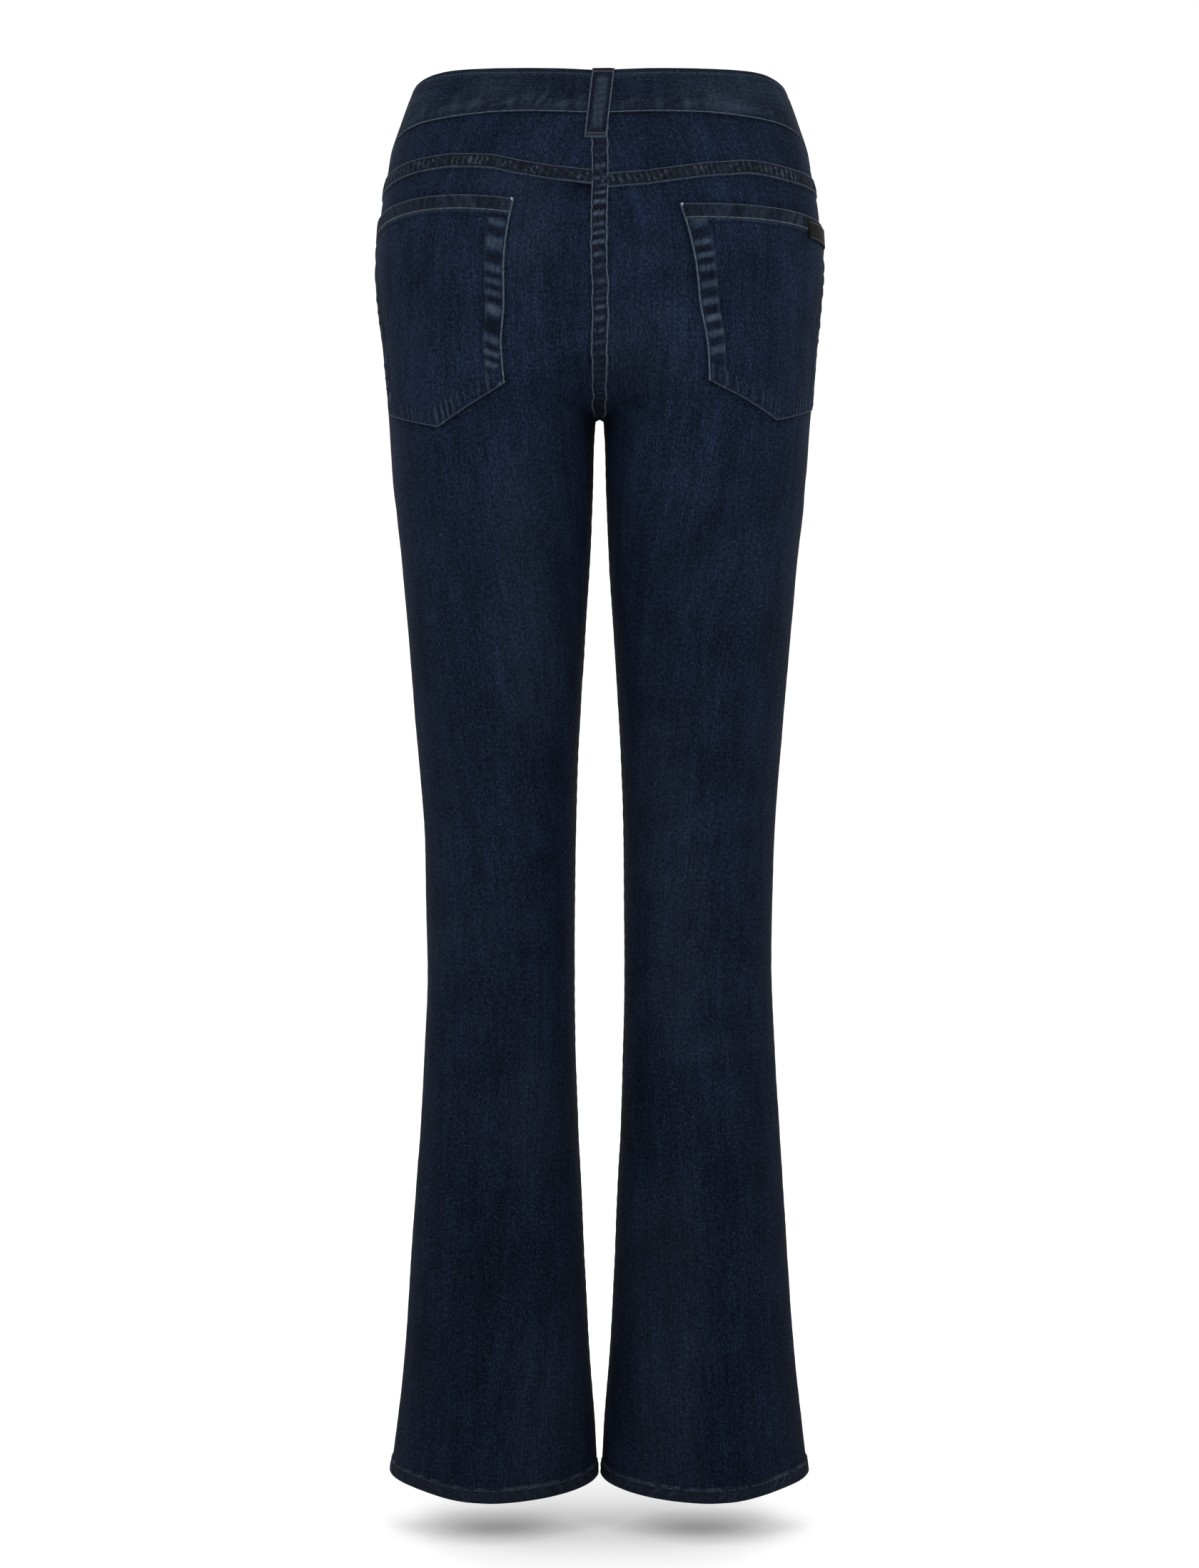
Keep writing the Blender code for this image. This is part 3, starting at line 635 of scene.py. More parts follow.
def surface(arc, height, lift, shift=0.0):
    """Points and normals on a cloth surface, for what is sewn on it."""
    arc, height = np.broadcast_arrays(np.asarray(arc, float), np.asarray(height, float))
    point, normal = form(arc, height)
    point = point + normal * (np.asarray(lift) + drape(arc, height, point))[..., None]
    point[..., 2] -= shift
    return point, normal


DASH = np.array([(-0.5, 0.0), (-0.30, 1.0), (0.30, 1.0), (0.5, 0.0)])
SIDES = 6


def stitches(name, runs, material, width=0.00058, tall=0.00034, pitch=STITCH_PITCH, gap=STITCH_GAP,
             twist=0.10):
    """Raised stitches along runs, each a pair of points and normals. One mesh for them all."""
    points = []
    faces = []
    uvs = []
    count = 0
    for number, (line, normals) in enumerate(runs):
        lengths = np.concatenate([[0], np.cumsum(np.linalg.norm(np.diff(line, axis=0), axis=1))])
        total = lengths[-1]
        amount = max(int(round(total / pitch)), 1)
        step = total / amount
        middle = (np.arange(amount) + 0.5) * step
        long = (step - gap) / 2

        def at(place, values):
            return np.stack([np.interp(place, lengths, values[:, k]) for k in range(3)], axis=1)

        centre = at(middle, line)
        along = at(middle + long, line) - at(middle - long, line)
        size = np.linalg.norm(along, axis=1, keepdims=True)
        along /= np.maximum(size, 1e-9)
        up = at(middle, normals)
        up -= along * (up * along).sum(1, keepdims=True)
        up /= np.linalg.norm(up, axis=1, keepdims=True)
        side = np.cross(up, along)
        slant = twist * (1 + 0.4 * scatter(5 + number, np.arange(amount)))
        along = along + side * slant[:, None]
        ring = []
        for place, grow in DASH:
            base = centre + along * (place * 2 * long)
            if grow == 0.0:
                ring.append(base[:, None, :] + up[:, None, :] * 0.00002)
                continue
            turn = np.arange(SIDES) / SIDES * 2 * math.pi
            flat = np.cos(turn)[None, :, None] * side[:, None, :] * width / 2
            high = np.sin(turn)[None, :, None] * up[:, None, :] * tall / 2
            ring.append(base[:, None, :] + flat + high + up[:, None, :] * tall * 0.25)
        block = np.concatenate(ring, axis=1)
        per = block.shape[1]
        points.append(block.reshape(-1, 3))
        local = []
        for k in range(SIDES):
            n = (k + 1) % SIDES
            local.append((0, 1 + n, 1 + k, 1 + k))
            local.append((1 + k, 1 + n, 1 + SIDES + n, 1 + SIDES + k))
            local.append((1 + SIDES + k, 1 + SIDES + n, per - 1, per - 1))
        local = np.array(local)
        start = count + np.arange(amount) * per
        faces.append((start[:, None, None] + local[None]).reshape(-1, 4))
        uvs.append(np.repeat(np.stack([middle, np.full(amount, number * 0.01)], 1), per, axis=0))
        count += amount * per
    points = np.concatenate(points)
    faces = np.concatenate(faces)
    if enclosed(points, faces) < 0:
        faces = faces[:, ::-1]
    # the faces at a stitch's two tips name one corner twice and become triangles
    lists = [tuple(dict.fromkeys(face)) for face in faces.tolist()]
    return piece_mesh(name, points, lists, np.concatenate(uvs), np.zeros((len(points), 3)), [material])


# Materials


class Nodes:
    """Short calls for one material's node tree."""

    def __init__(self, name):
        self.material = bpy.data.materials.new(name)
        self.material.use_nodes = True
        self.tree = self.material.node_tree
        self.shader = self.tree.nodes["Principled BSDF"]

    def add(self, kind, settings=None, **inputs):
        made = self.tree.nodes.new("ShaderNode" + kind)
        for key, value in (settings or {}).items():
            setattr(made, key, value)
        for key, value in inputs.items():
            socket = made.inputs[int(key[1:])] if key[0] == "i" and key[1:].isdigit() else made.inputs[key]
            self.put(socket, value)
        return made

    def put(self, socket, value):
        if isinstance(value, bpy.types.NodeSocket):
            self.tree.links.new(value, socket)
        else:
            socket.default_value = value

    def math(self, operation, a, b=0.0):
        return self.add("Math", {"operation": operation}, i0=a, i1=b).outputs[0]

    def mix(self, share, a, b, blend="MIX"):
        made = self.add("Mix", {"data_type": "RGBA", "blend_type": blend})
        self.put(made.inputs["Factor"], share)
        self.put(made.inputs[6], a)
        self.put(made.inputs[7], b)
        return made.outputs[2]

    def band(self, value, low, high, to_low=0.0, to_high=1.0):
        made = self.add("MapRange", {"clamp": True})
        for key, number in zip(("From Min", "From Max", "To Min", "To Max"), (low, high, to_low, to_high)):
            made.inputs[key].default_value = number
        self.put(made.inputs["Value"], value)
        return made.outputs["Result"]

    def noise(self, vector, scale, detail=2.0, roughness=0.5):
        stretched = self.add("VectorMath", {"operation": "MULTIPLY"}, i0=vector, i1=scale).outputs[0]
        made = self.add("TexNoise", {"noise_dimensions": "2D"})
        self.put(made.inputs["Vector"], stretched)
        made.inputs["Scale"].default_value = 1.0
        made.inputs["Detail"].default_value = detail
        made.inputs["Roughness"].default_value = roughness
        return made.outputs[0]


    def places(self):
        return self.add("UVMap", {"uv_map": "cloth"}).outputs[0]

    def bump(self, height, strength, distance):
        made = self.add("Bump", Strength=strength, Distance=distance, Height=height)
        self.put(self.shader.inputs["Normal"], made.outputs[0])

    def finish(self, **values):
        """Sets the shader's inputs, named with low lines for spaces."""
        for key, value in values.items():
            self.put(self.shader.inputs[key.replace("_", " ")], value)


TWILL_PITCH = 0.00095
TWILL_LEAN = math.radians(32)
CLOTH_NOISES = (
    # how fine across and along the warp, detail, roughness
    ((500.0, 48.0, 0.0), 3.0, 0.62),
    ((700.0, 400.0, 0.0), 4.0, 0.80),
    ((1150.0, 780.0, 0.0), 1.0, 0.5),
    ((26.0, 15.0, 0.0), 4.0, 0.62),
    ((620.0, 330.0, 0.0), 2.0, 0.6),
    ((120.0, 9.0, 0.0), 2.0, 0.5),
)
UNDYED = (0.0048, 0.0050, 0.0062, 1.0)
FLECK = (0.060, 0.078, 0.100, 1.0)


def denim(name, base, faded, flecks=0.5):
    """Twill cloth: slanted ridges, upright slubs, pale flecks, mottling, and wear, brown and painted shade
    from the tones.
    """
    n = Nodes(name)
    uv = n.places()
    tone = n.add("Attribute", {"attribute_name": "tone"}).outputs["Color"]
    split = n.add("SeparateColor")
    n.put(split.inputs[0], tone)
    wear, shade, rust = split.outputs
    turns = 2 * math.pi / TWILL_PITCH
    lean = (turns * math.cos(TWILL_LEAN), -turns * math.sin(TWILL_LEAN), 0.0)
    slide = n.add("VectorMath", {"operation": "DOT_PRODUCT"}, i0=uv, i1=lean).outputs["Value"]
    twill = n.math("SINE", slide)
    slub, thread, speck, mottle, grain, streak = (n.noise(uv, *settings) for settings in CLOTH_NOISES)
    level = n.band(slub, 0.30, 0.70, 0.72, 1.30)
    for pattern, *limits in (
        (thread, 0.33, 0.67, 0.36, 1.72),
        (mottle, 0.30, 0.70, 0.76, 1.26),
        (grain, 0.32, 0.68, 0.76, 1.27),
        (streak, 0.30, 0.70, 0.86, 1.16),
        (twill, -1.0, 1.0, 0.84, 1.16),
    ):
        level = n.math("MULTIPLY", level, n.band(pattern, *limits))
    # painted shade: the tones' second number darkens the cloth
    level = n.math("MULTIPLY", level, n.math("SUBTRACT", 1.0, shade))
    plain = n.mix(1.0, (*base, 1.0), level, "MULTIPLY")
    brown = n.mix(rust, plain, UNDYED)
    rub = n.math("MULTIPLY", wear, n.band(slub, 0.30, 0.70, 0.75, 1.25))
    rub = n.math("MINIMUM", n.math("MULTIPLY", rub, n.band(thread, 0.28, 0.72, 0.55, 1.45)), 1.0)
    worn = n.mix(rub, brown, (*faded, 1.0))
    fleck = n.math("MULTIPLY", n.band(speck, 0.69, 0.76), n.band(thread, 0.40, 0.62))
    fleck = n.math("MULTIPLY", fleck, flecks)
    n.bump(n.math("ADD", n.math("MULTIPLY", twill, 0.35), n.math("ADD", slub, thread)), 0.55, 0.00022)
    n.finish(Base_Color=n.mix(fleck, worn, FLECK), Roughness=0.92, Specular_IOR_Level=0.03,
             Sheen_Weight=0.003, Sheen_Roughness=0.45, Sheen_Tint=(0.55, 0.68, 1.0, 1.0))
    return n.material


def thread_material(name, colour):
    """Spun thread, a little uneven along its length."""
    n = Nodes(name)
    level = n.band(n.noise(n.places(), (260.0, 900.0, 0.0), 2.0, 0.6), 0.25, 0.75, 0.45, 1.45)
    n.finish(Base_Color=n.mix(1.0, (*colour, 1.0), level, "MULTIPLY"), Roughness=0.75,
             Specular_IOR_Level=0.20, Sheen_Weight=0.10)
    return n.material


def tape_material(name, colour):
    """Closely woven black tape."""
    n = Nodes(name)
    weave = n.noise(n.places(), (1800.0, 2600.0, 0.0), 1.0, 0.5)
    level = n.band(weave, 0.25, 0.75, 0.6, 1.5)
    n.bump(weave, 0.4, 0.0001)
    n.finish(Base_Color=n.mix(1.0, (*colour, 1.0), level, "MULTIPLY"), Roughness=0.85,
             Specular_IOR_Level=0.06)
    return n.material


def brass_material(name):
    """Aged brass: satin, with darker tarnish in patches."""
    n = Nodes(name)
    place = n.add("TexCoord").outputs["Object"]
    patch = n.add("TexNoise")
    n.put(patch.inputs["Vector"], place)
    patch.inputs["Scale"].default_value = 420.0
    tarnish = n.band(patch.outputs[0], 0.40, 0.66)
    n.finish(Base_Color=n.mix(tarnish, BRASS_CLEAN, BRASS_TARNISHED), Metallic=1.0,
             Roughness=n.band(patch.outputs[0], 0.3, 0.7, 0.28, 0.50))
    return n.material


DENIM = denim("denim", INDIGO, FADED)
BAND_DENIM = denim("band_denim", INDIGO_BAND, FADED)
INSIDE = denim("denim_reverse", REVERSE, REVERSE_FADED, 0.2)
THREADS = thread_material("thread", THREAD)
BRIGHT = thread_material("thread_pale", THREAD_BRIGHT)
KNOTS = thread_material("thread_knot", THREAD_KNOT)
TACKS = thread_material("thread_tack", THREAD_TACK)
TAPE = tape_material("black_tape", BLACK)
BRASS = brass_material("aged_brass")
CLOTH = [DENIM, INSIDE]
BAND_CLOTH = [BAND_DENIM, INSIDE]


# Shared edges


def waist_edge(share, column):
    shares = [row[0] for row in WAIST_LINE]
    return curve(shares, [row[column] for row in WAIST_LINE], share)


def yoke_edge(share, side):
    shares = [row[0] for row in YOKE_EDGE]
    return curve(shares, [row[2 if side > 0 else 1] for row in YOKE_EDGE], share)


def mouth_drop(share):
    """Drop of the front panel's upper edge, by share of the way to the side seam."""
    drop = -waist_edge(1 - share * (1 - SIDE_SHARE), 2)
    run = np.clip((share - MOUTH_START) / (1 - MOUTH_START), 0, 1)
    return drop + MOUTH_DEPTH * (1 - (1 - run) ** MOUTH_POWER)


def hem_shift(arc, height):
    """How far the hem dips behind, lifts in front and lifts at its outer corner."""
    place = form(arc, height)[0]
    outer = HEM_CORNER_RISE * ease(*HEM_CORNER, np.abs(place[..., 0]))
    return -(outer + HEM_SLOPE * place[..., 1]) * ease(*HEM_FADE, -height)


def even_drops(start, end, step):
    """Drops at even steps along the cloth, which turns under towards the crotch."""
    drops = np.arange(start, end, FINE_STEP)
    moved = np.zeros(len(drops) - 1)
    for share in (0.002, 0.10, 0.50, 0.90, 0.998):
        line = form(share * way_round(-drops), -drops)[0]
        moved = np.maximum(moved, np.linalg.norm(np.diff(line, axis=0), axis=1))
    length = np.concatenate([[0], np.cumsum(moved)])
    return np.interp(np.linspace(0, length[-1], int(length[-1] / step) + 1), length, drops)


def leg_shade(height):
    """Darker towards the hem, with painted shade round the crotch."""
    drop = -height
    lower = 0.24 * ease(0.22, 0.42, drop) + 0.22 * ease(0.45, 0.90, drop)
    return lower + 0.06 * hill(drop - 0.50, 0.10) + 0.08 * hill(drop - 0.245, 0.035)


# crease ridges: wear and painted highlight; troughs: painted shade
RIDGE_WEAR_AND_HIGHLIGHT = 70
TROUGH_SHADE = 210


def crease_tones(arc, height):
    """Creases are paler on their ridges, as wear and painted highlight, with painted shade in their troughs.
    """
    moved = fold_height(arc, height, CREASES)
    return np.maximum(moved, 0) * RIDGE_WEAR_AND_HIGHLIGHT, np.maximum(-moved, 0) * TROUGH_SHADE


def rubbed(point, size, seed, start=0.1):
    """Large soft patches, longer down the cloth than across it, where the dye is thinner."""
    return ease(start, 0.7, cloud(point * np.array([1.0, 1.0, 0.5]), size, seed))


def leg_puckers(down, to_side, to_inner, seed):
    """How far the puckers along a leg's outer and inner seam lift its cloth."""
    outer = 0.00022 * pucker(down, 0.0150, seed) * np.exp(-to_side / 0.010)
    return outer + 0.00035 * pucker(down, 0.0105, seed + 2) * np.exp(-np.abs(to_inner - 0.006) / 0.008)


def sewn(piece, body_slot, nodes=(), **sheet):
    """The piece rides on the body and stands for its nodes; the sheet values are not used."""
    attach(piece, "root")
    if nodes:
        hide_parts(*nodes)


def stitched(name, runs, material, body_slot="denim", **style):
    """Rows of stitches that ride on the body."""
    sewn(stitches(name, runs, material, **style), body_slot)


# Legs

LEG_STEP = 0.0041
SEAT_STEP = 0.0019
SEAT_END = 0.285
BACK_COLUMNS = 92
FRONT_COLUMNS = 66
SEAM_EDGE = (0.0, 0.0004, 0.0010, 0.0022, 0.0052, 0.0062, 0.0070, 0.0080, 0.0095, 0.0120)


BACK_FINE_ROWS = (0.0004, 0.0008, 0.0014)
FRONT_FINE_ROWS = (-0.0036, -0.0024, -0.0012, 0.0004, 0.0010, 0.0020)


def with_fine_rows(drops, top, fine):
    """A panel's rows, one below the other, with finer ones by its upper edge."""
    return np.sort(np.concatenate([drops, top + np.array(fine)]))[:, None]


def bowed_point(points, share):
    """Places on the arc through an edge's three points."""
    a, b, c = (np.array(p) for p in points)
    s = share[..., None]
    return a * (1 - s) * (1 - 2 * s) + b * 4 * s * (1 - s) + c * s * (2 * s - 1)


def edge_point(points, share):
    """Places on the line through an edge's three points."""
    places = np.array(points)
    return np.stack([np.interp(share, (0, 0.5, 1), places[:, k]) for k in range(2)], axis=-1)


def pocket_outline(plan):
    """Corner-to-corner outline of a back pocket, as arc length behind the widest point and drop."""
    run = np.linspace(0, 1, 24)
    top = bowed_point(plan["top"], run)
    foot = edge_point(plan["bottom"], run)
    return np.concatenate([top, foot[::-1], top[:1]])


def from_outline(across, down, outline):
    """Shortest distance from each place to the outline."""
    best = np.full(np.broadcast(across, down).shape, 1.0)
    for (x0, y0), (x1, y1) in zip(outline[:-1], outline[1:]):
        dx = x1 - x0
        dy = y1 - y0
        t = np.clip(((across - x0) * dx + (down - y0) * dy) / max(dx * dx + dy * dy, 1e-12), 0, 1)
        best = np.minimum(best, np.hypot(across - x0 - t * dx, down - y0 - t * dy))
    return best


def back_leg(word, side):
    """Back panel of one leg, from the yoke seam to the hem."""
    name = "back_leg_" + word
    seat = even_drops(YOKE_MEAN_DROP, SEAT_END, SEAT_STEP)
    drops = np.concatenate([seat, even_drops(SEAT_END, HEM_DROP, LEG_STEP)[1:]])
    drops = with_fine_rows(drops, YOKE_MEAN_DROP, BACK_FINE_ROWS)
    share, offset = spread(BACK_COLUMNS, SEAM_EDGE)
    width = side_seam(-drops) - HALF_GAP
    run = (share * width + offset) / width
    follow = 1 - ease(YOKE_MEAN_DROP, YOKE_FADE_END, drops)
    height = -drops - (yoke_edge(run, side) - YOKE_MEAN_DROP) * follow
    width = side_seam(height) - HALF_GAP
    arc = share * width + offset
    to_side = width - arc
    down = -height
    lift = edge_fall(to_side) + leg_puckers(down, to_side, arc, 31 + side)
    wear = 0.05 * rubbed(form(side * arc, height)[0], 0.055, 21 + side)
    thigh = ease(0.26, 0.34, down) * (1 - ease(0.62, 0.95, down))
    wear = wear + 0.012 * hill(arc / width - 0.55, 0.26) * thigh
    # painted shade by the side seam, and by the seat seam's lower end and the inseam
    shade = leg_shade(height) + 0.20 * hill(to_side, 0.020)
    shade = shade + 0.16 * hill(arc, 0.016) * ease(0.20, 0.27, down)
    # painted shadow round the pocket, under the yoke's strip and beside the centre seam
    near = from_outline(flank(height) - arc, down, pocket_outline(POCKETS[word]))
    shade = shade + 0.62 * np.exp(-near / 0.0019)
    under_yoke = down - yoke_edge(arc / width, side)
    shade = shade + 0.58 * np.exp(-under_yoke / 0.0018)
    shade = shade + 0.40 * hill(arc - 0.0068, 0.0016) * (0.75 + 0.5 * wander(down / 0.014, 27 + side))
    # painted shadow under the end of the left yoke's strip
    shade = shade + (0.50 if side < 0 else 0.16) * hill(arc - 0.013, 0.008) * hill(under_yoke - 0.002, 0.0035)
    lift = lift - 0.00035 * hill(arc - 0.0074, 0.0018) * (1 - ease(0.24, 0.26, down))
    ridge, trough = crease_tones(side * arc, height)
    piece = cloth(name, side * arc, height, lift, -WALL, CLOTH,
                  shift=hem_shift(side * arc, height), wear=wear + ridge, shade=shade + trough, half=side)
    sewn(piece, "denim", [name], flat=(0.32, 1.02), held="hung", area=0.225,
         rests_on=["yoke_" + word])


def front_columns():
    """Shares and offsets of a front panel's columns, from the centre front to the side seam."""
    return spread(FRONT_COLUMNS, SEAM_EDGE)


def front_leg(word, side):
    """Front panel of one leg, from the waistband and the pocket mouth to the hem."""
    name = "front_leg_" + word
    drops = even_drops(FRONT_TOP_MEAN, HEM_DROP, LEG_STEP)
    drops = with_fine_rows(drops, FRONT_TOP_MEAN, FRONT_FINE_ROWS)
    share, offset = front_columns()
    # two more columns run on behind the side seam
    share = np.append(share, [1.0, 1.0])
    offset = np.append(offset, [0.0003, 0.0022])
    total = way_round(-drops)
    width = total - side_seam(-drops) - HALF_GAP
    run = np.clip((share * width + offset) / width, 0, 1)
    fade = np.clip((FRONT_FADE_END - drops) / (FRONT_FADE_END - FRONT_TOP_MEAN), 0, 1)
    in_mouth = ease(MOUTH_START - 0.01, MOUTH_START + 0.01, run)
    # rows over the upper edge run on under the band
    above = np.maximum(FRONT_TOP_MEAN - drops, 0)
    height = -drops - (mouth_drop(run) - FRONT_TOP_MEAN + HALF_GAP) * fade - 0.97 * above * in_mouth
    total = way_round(height)
    width = total - side_seam(height) - HALF_GAP
    place = share * width + offset
    arc = total - place
    to_side = width - place
    down = -height
    steep = 5.0 * ease(MOUTH_START - 0.02, MOUTH_START + 0.12, run) * (1 - ease(0.6, 1.0, run))
    to_mouth = (down - mouth_drop(run)) / np.sqrt(1 + steep)
    # sunk under the band, turned at the pocket's mouth and puckered along its rows and seams
    lift = edge_fall(to_side) - 0.0018 * ease(0.0, 0.0016, above) * (1 - in_mouth)
    lift = lift + in_mouth * (edge_fall(to_mouth, 0.0009) + 0.0004 * (1 - ease(0.0085, 0.0105, to_mouth)))
    lift = lift + 0.00030 * in_mouth * pucker(place + down, 0.0085, 41 + side) * hill(to_mouth - 0.005, 0.004)
    lift = lift + leg_puckers(down, to_side, place, 43 + side)
    if side < 0:
        fly = fly_reach(down)
        lift = lift + 0.00045 * (1 - ease(-0.0012, 0.0012, place - fly)) * ease(0.0, 0.004, fly)
    behind = ((share > 1 - 1e-9) & (offset > 0))[None, :]
    lift = np.where(behind, -WALL - 0.0003, lift)
    wear = 0.10 * rubbed(form(side * arc, height)[0], 0.055, 25 + side)
    thigh = ease(0.20, 0.32, down) * (1 - ease(0.50, 0.85, down))
    wear = wear + 0.07 * hill(place / width - 0.50, 0.24) * thigh
    wear = wear + 0.25 * in_mouth * hill(to_mouth, 0.0016)
    # painted shade by the side seam, and by the front seam's lower end and the inseam
    shade = leg_shade(height) + 0.22 * hill(to_side, 0.012)
    shade = shade + 0.20 * hill(place, 0.016) * ease(0.20, 0.27, down)
    ridge, trough = crease_tones(side * arc, height)
    under = np.where(behind, -WALL - 0.0008, np.minimum(-WALL, lift - 0.0005))
    piece = cloth(name, side * arc, height, lift, under, CLOTH,
                  shift=hem_shift(side * arc, height), wear=wear + ridge, shade=shade + trough, half=side)
    sewn(piece, "denim", [name], flat=(0.28, 1.04), held="hung", area=0.195, rests_on=["waistband"])


FLY_WIDTH = 0.0380
FLY_TOP = 0.0665
FLY_END = 0.196
FLY_BEND = 0.150


def fly_reach(drop):
    """How far the fly's curved stitching lies from the centre front at a drop."""
    t = np.clip((drop - FLY_BEND) / (FLY_END - FLY_BEND), 0, 1)
    return FLY_WIDTH * np.sqrt(np.clip(1 - t**2.4, 0, 1))


for word, side in BOTH_SIDES:
    back_leg(word, side)
    front_leg(word, side)


# Hems


HEM_DEPTHS = (-0.0009, -0.0003, 0.0003, 0.0012, 0.0024, 0.0040, 0.0058, 0.0076, 0.0092, 0.0104, 0.0112)
HEM_COLUMNS = 330
HEM_STITCH_DEPTH = 0.0017
HEM_ROLL = 0.0011


def hem(word, side):
    """Folded hem right round one leg, roped by its stitching."""
    depths = np.array(HEM_DEPTHS)[:, None]
    share = np.arange(HEM_COLUMNS)[None, :] / HEM_COLUMNS
    height = -HEM_DROP + HEM_HEIGHT - depths
    arc = share * way_round(height)
    along = share * way_round(-HEM_DROP)
    seam = np.minimum(np.abs(share - SIDE_SHARE), np.minimum(share, 1 - share)) * way_round(-HEM_DROP)
    rope = pucker(along + 0.9 * depths, 0.0105, 51 + side, 0.8)
    roll = HEM_ROLL * ease(-0.0012, 0.0004, depths) + edge_fall(HEM_HEIGHT - depths, 0.0009, 0.0014)
    lift = roll - 0.00035 * hill(depths - 0.0015, 0.0006)
    lift = lift + 0.00042 * rope * hill(depths - 0.0052, 0.0042) + 0.0005 * hill(seam, 0.004)
    under = -WALL - roll
    broken = ease(-0.45, 0.35, wander(along / 0.0065, 53 + side) + 0.5 * rope)
    wear = 0.04 + 0.24 * ease(0.25, 1.0, rope) * hill(depths - 0.0050, 0.0042)
    wear = wear + 0.42 * hill(depths - 0.0004, 0.0010) * broken
    wear = wear * (0.80 + 0.25 * wander(along / 0.03, 57 + side))
    # painted shade in the rope's troughs and in the groove under the stitching; the whole hem darker
    shade = 0.34 + 0.20 * ease(0.2, 1.0, -rope) + 0.25 * hill(depths - 0.0024, 0.0009)
    piece = cloth("hem_" + word, side * arc, height, lift, under, CLOTH,
                  shift=hem_shift(side * arc, height), wear=wear, shade=shade, rust=0.45, ring=True)
    sewn(piece, "denim", flat=(0.013, 0.46), held="folded",
         rests_on=["back_leg_" + word, "front_leg_" + word])
    line_share = np.linspace(0, 1, 400)
    line_height = np.full(400, -HEM_DROP + HEM_HEIGHT - HEM_STITCH_DEPTH)
    line_arc = side * line_share * way_round(line_height)
    run = surface(line_arc, line_height, 0.00075, hem_shift(line_arc, line_height))
    stitched("hem_stitches_" + word, [run], THREADS)


for word, side in BOTH_SIDES:
    hem(word, side)


# Seam strips


def resampled(arc, height, step):
    """The same line over the form at even steps along the cloth, with the distance so far."""
    line = form(arc, height)[0]
    length = np.concatenate([[0], np.cumsum(np.linalg.norm(np.diff(line, axis=0), axis=1))])
    along = np.linspace(0, length[-1], max(int(length[-1] / step), 2) + 1)
    return np.interp(along, length, arc), np.interp(along, length, height), along


STRIP_INSET = 0.0006


def strip(name, base, along, half, pitch, seed, rope, proud, glow, dark, held_on, edges=(0.5, 0.5),
          rows=(True, True), rust=0.0, slant=0.0, strong=np.ones_like, thread=THREADS, row_style=ROPED,
          sway=0.0):
    """A felled seam: a raised strip with two sunk rows of stitches and uneven puckers between.

    base gives points, normals and cloth places at offsets across the strip. rows says which
    edges are stitched. strong gives the puckers' strength along the strip.
    """
    offsets = np.concatenate([
        [-half - 0.0005, -half, -half + 0.0005], np.linspace(-half + 0.0011, half - 0.0011, 11),
        [half - 0.0005, half, half + 0.0005],
    ])[None, :]
    u = along[:, None]
    # the whole strip wanders a little from side to side
    wobble = sway * (wander(u / 0.019, seed + 5) + 0.35 * wander(u / 0.0045, seed + 6))
    point, normal, uv = base(offsets + wobble)
    strength = strong(u)
    from_edge = half - np.abs(offsets)
    wave = pucker(u + slant * offsets, pitch, seed)
    lift = proud * ease(-0.0006, 0.0010, from_edge)
    lift = lift - 0.0003 * hill(from_edge - 0.0014, 0.0005)
    lift = lift + rope * strength * wave * ease(0.0004, 0.0026, from_edge)
    lift = lift + 0.0002 * ease(0.002, 0.005, from_edge) - 0.0004 * (from_edge < -0.0004)
    # rubbed on the puckers' ridges and in beads along the edges; painted shade in the puckers' troughs and in
    # the grooves beside the rows
    inner = ease(0.0014, 0.0030, from_edge)
    bead = 0.75 + 0.25 * np.cos(2 * math.pi * u / STITCH_PITCH)
    patch = 0.72 + 0.75 * wander(u / 0.0021 + offsets / 0.0013, seed + 9)
    spots = ease(0.25, 0.8, wander(u / 0.0017 - offsets / 0.0011, seed + 10)) * 0.22
    wear = strength * inner * (glow * ease(0.05, 0.85, wave) * patch + spots)
    left_edge, right_edge = edges
    strong_edge = np.where(offsets > 0, right_edge, left_edge)
    uneven = 0.75 + 0.3 * wander(u / 0.012, seed + 3)
    wear = wear + strong_edge * hill(from_edge - 0.0002, 0.0006) * uneven * bead
    # dark sets the painted shade in the puckers' troughs
    shade = dark * strength * ease(0.0, 0.8, -wave) * inner + 0.45 * hill(from_edge - 0.0016, 0.0006) + 0.05
    tone = tones(lift.shape, wear, shade, rust * inner)
    piece = shell(name, point + normal * lift[..., None], point - normal * 0.0004, uv, tone, CLOTH)
    sewn(piece, "denim", flat=(2 * half + 0.001, float(along[-1])), held="stretched", rests_on=held_on)
    runs = []
    for edge, on in zip((-1, 1), rows):
        if on:
            point, normal, uv = base(edge * (half - STRIP_INSET) + wobble)
            runs.append(((point + normal * (proud - 0.0003))[:, 0], normal[:, 0]))
    stitched(name + "_stitches", runs, thread, **row_style)


def on_cloth(arc_at, height_at, shifted=False):
    """A strip's base from arcs and heights at offsets."""
    def base(offsets):
        arc = arc_at(offsets)
        height = height_at(offsets)
        point, normal = surface(arc, height, 0.0, hem_shift(arc, height) if shifted else 0.0)
        return point, normal, grain_places(arc, height)
    return base


def gradient(point):
    """How far outside the right half's form the points lie, and the way out."""
    height = point[..., 2]
    size = sizes(height)
    across = point[..., 0] - size["centre"]
    along = point[..., 1] - size["middle"]
    slope = sizes(height, SLOPE_TABLE)
    u, v, rise_u, rise_v, out_x, out_y = section_terms(size, slope, across, along)
    off = u ** size["power"] + v ** size["power"] - 1
    return off, np.stack([out_x, out_y, rise_u + rise_v], axis=-1)


STRIP_REACH = 0.0088
STRIP_REACH_STEP = 0.0004


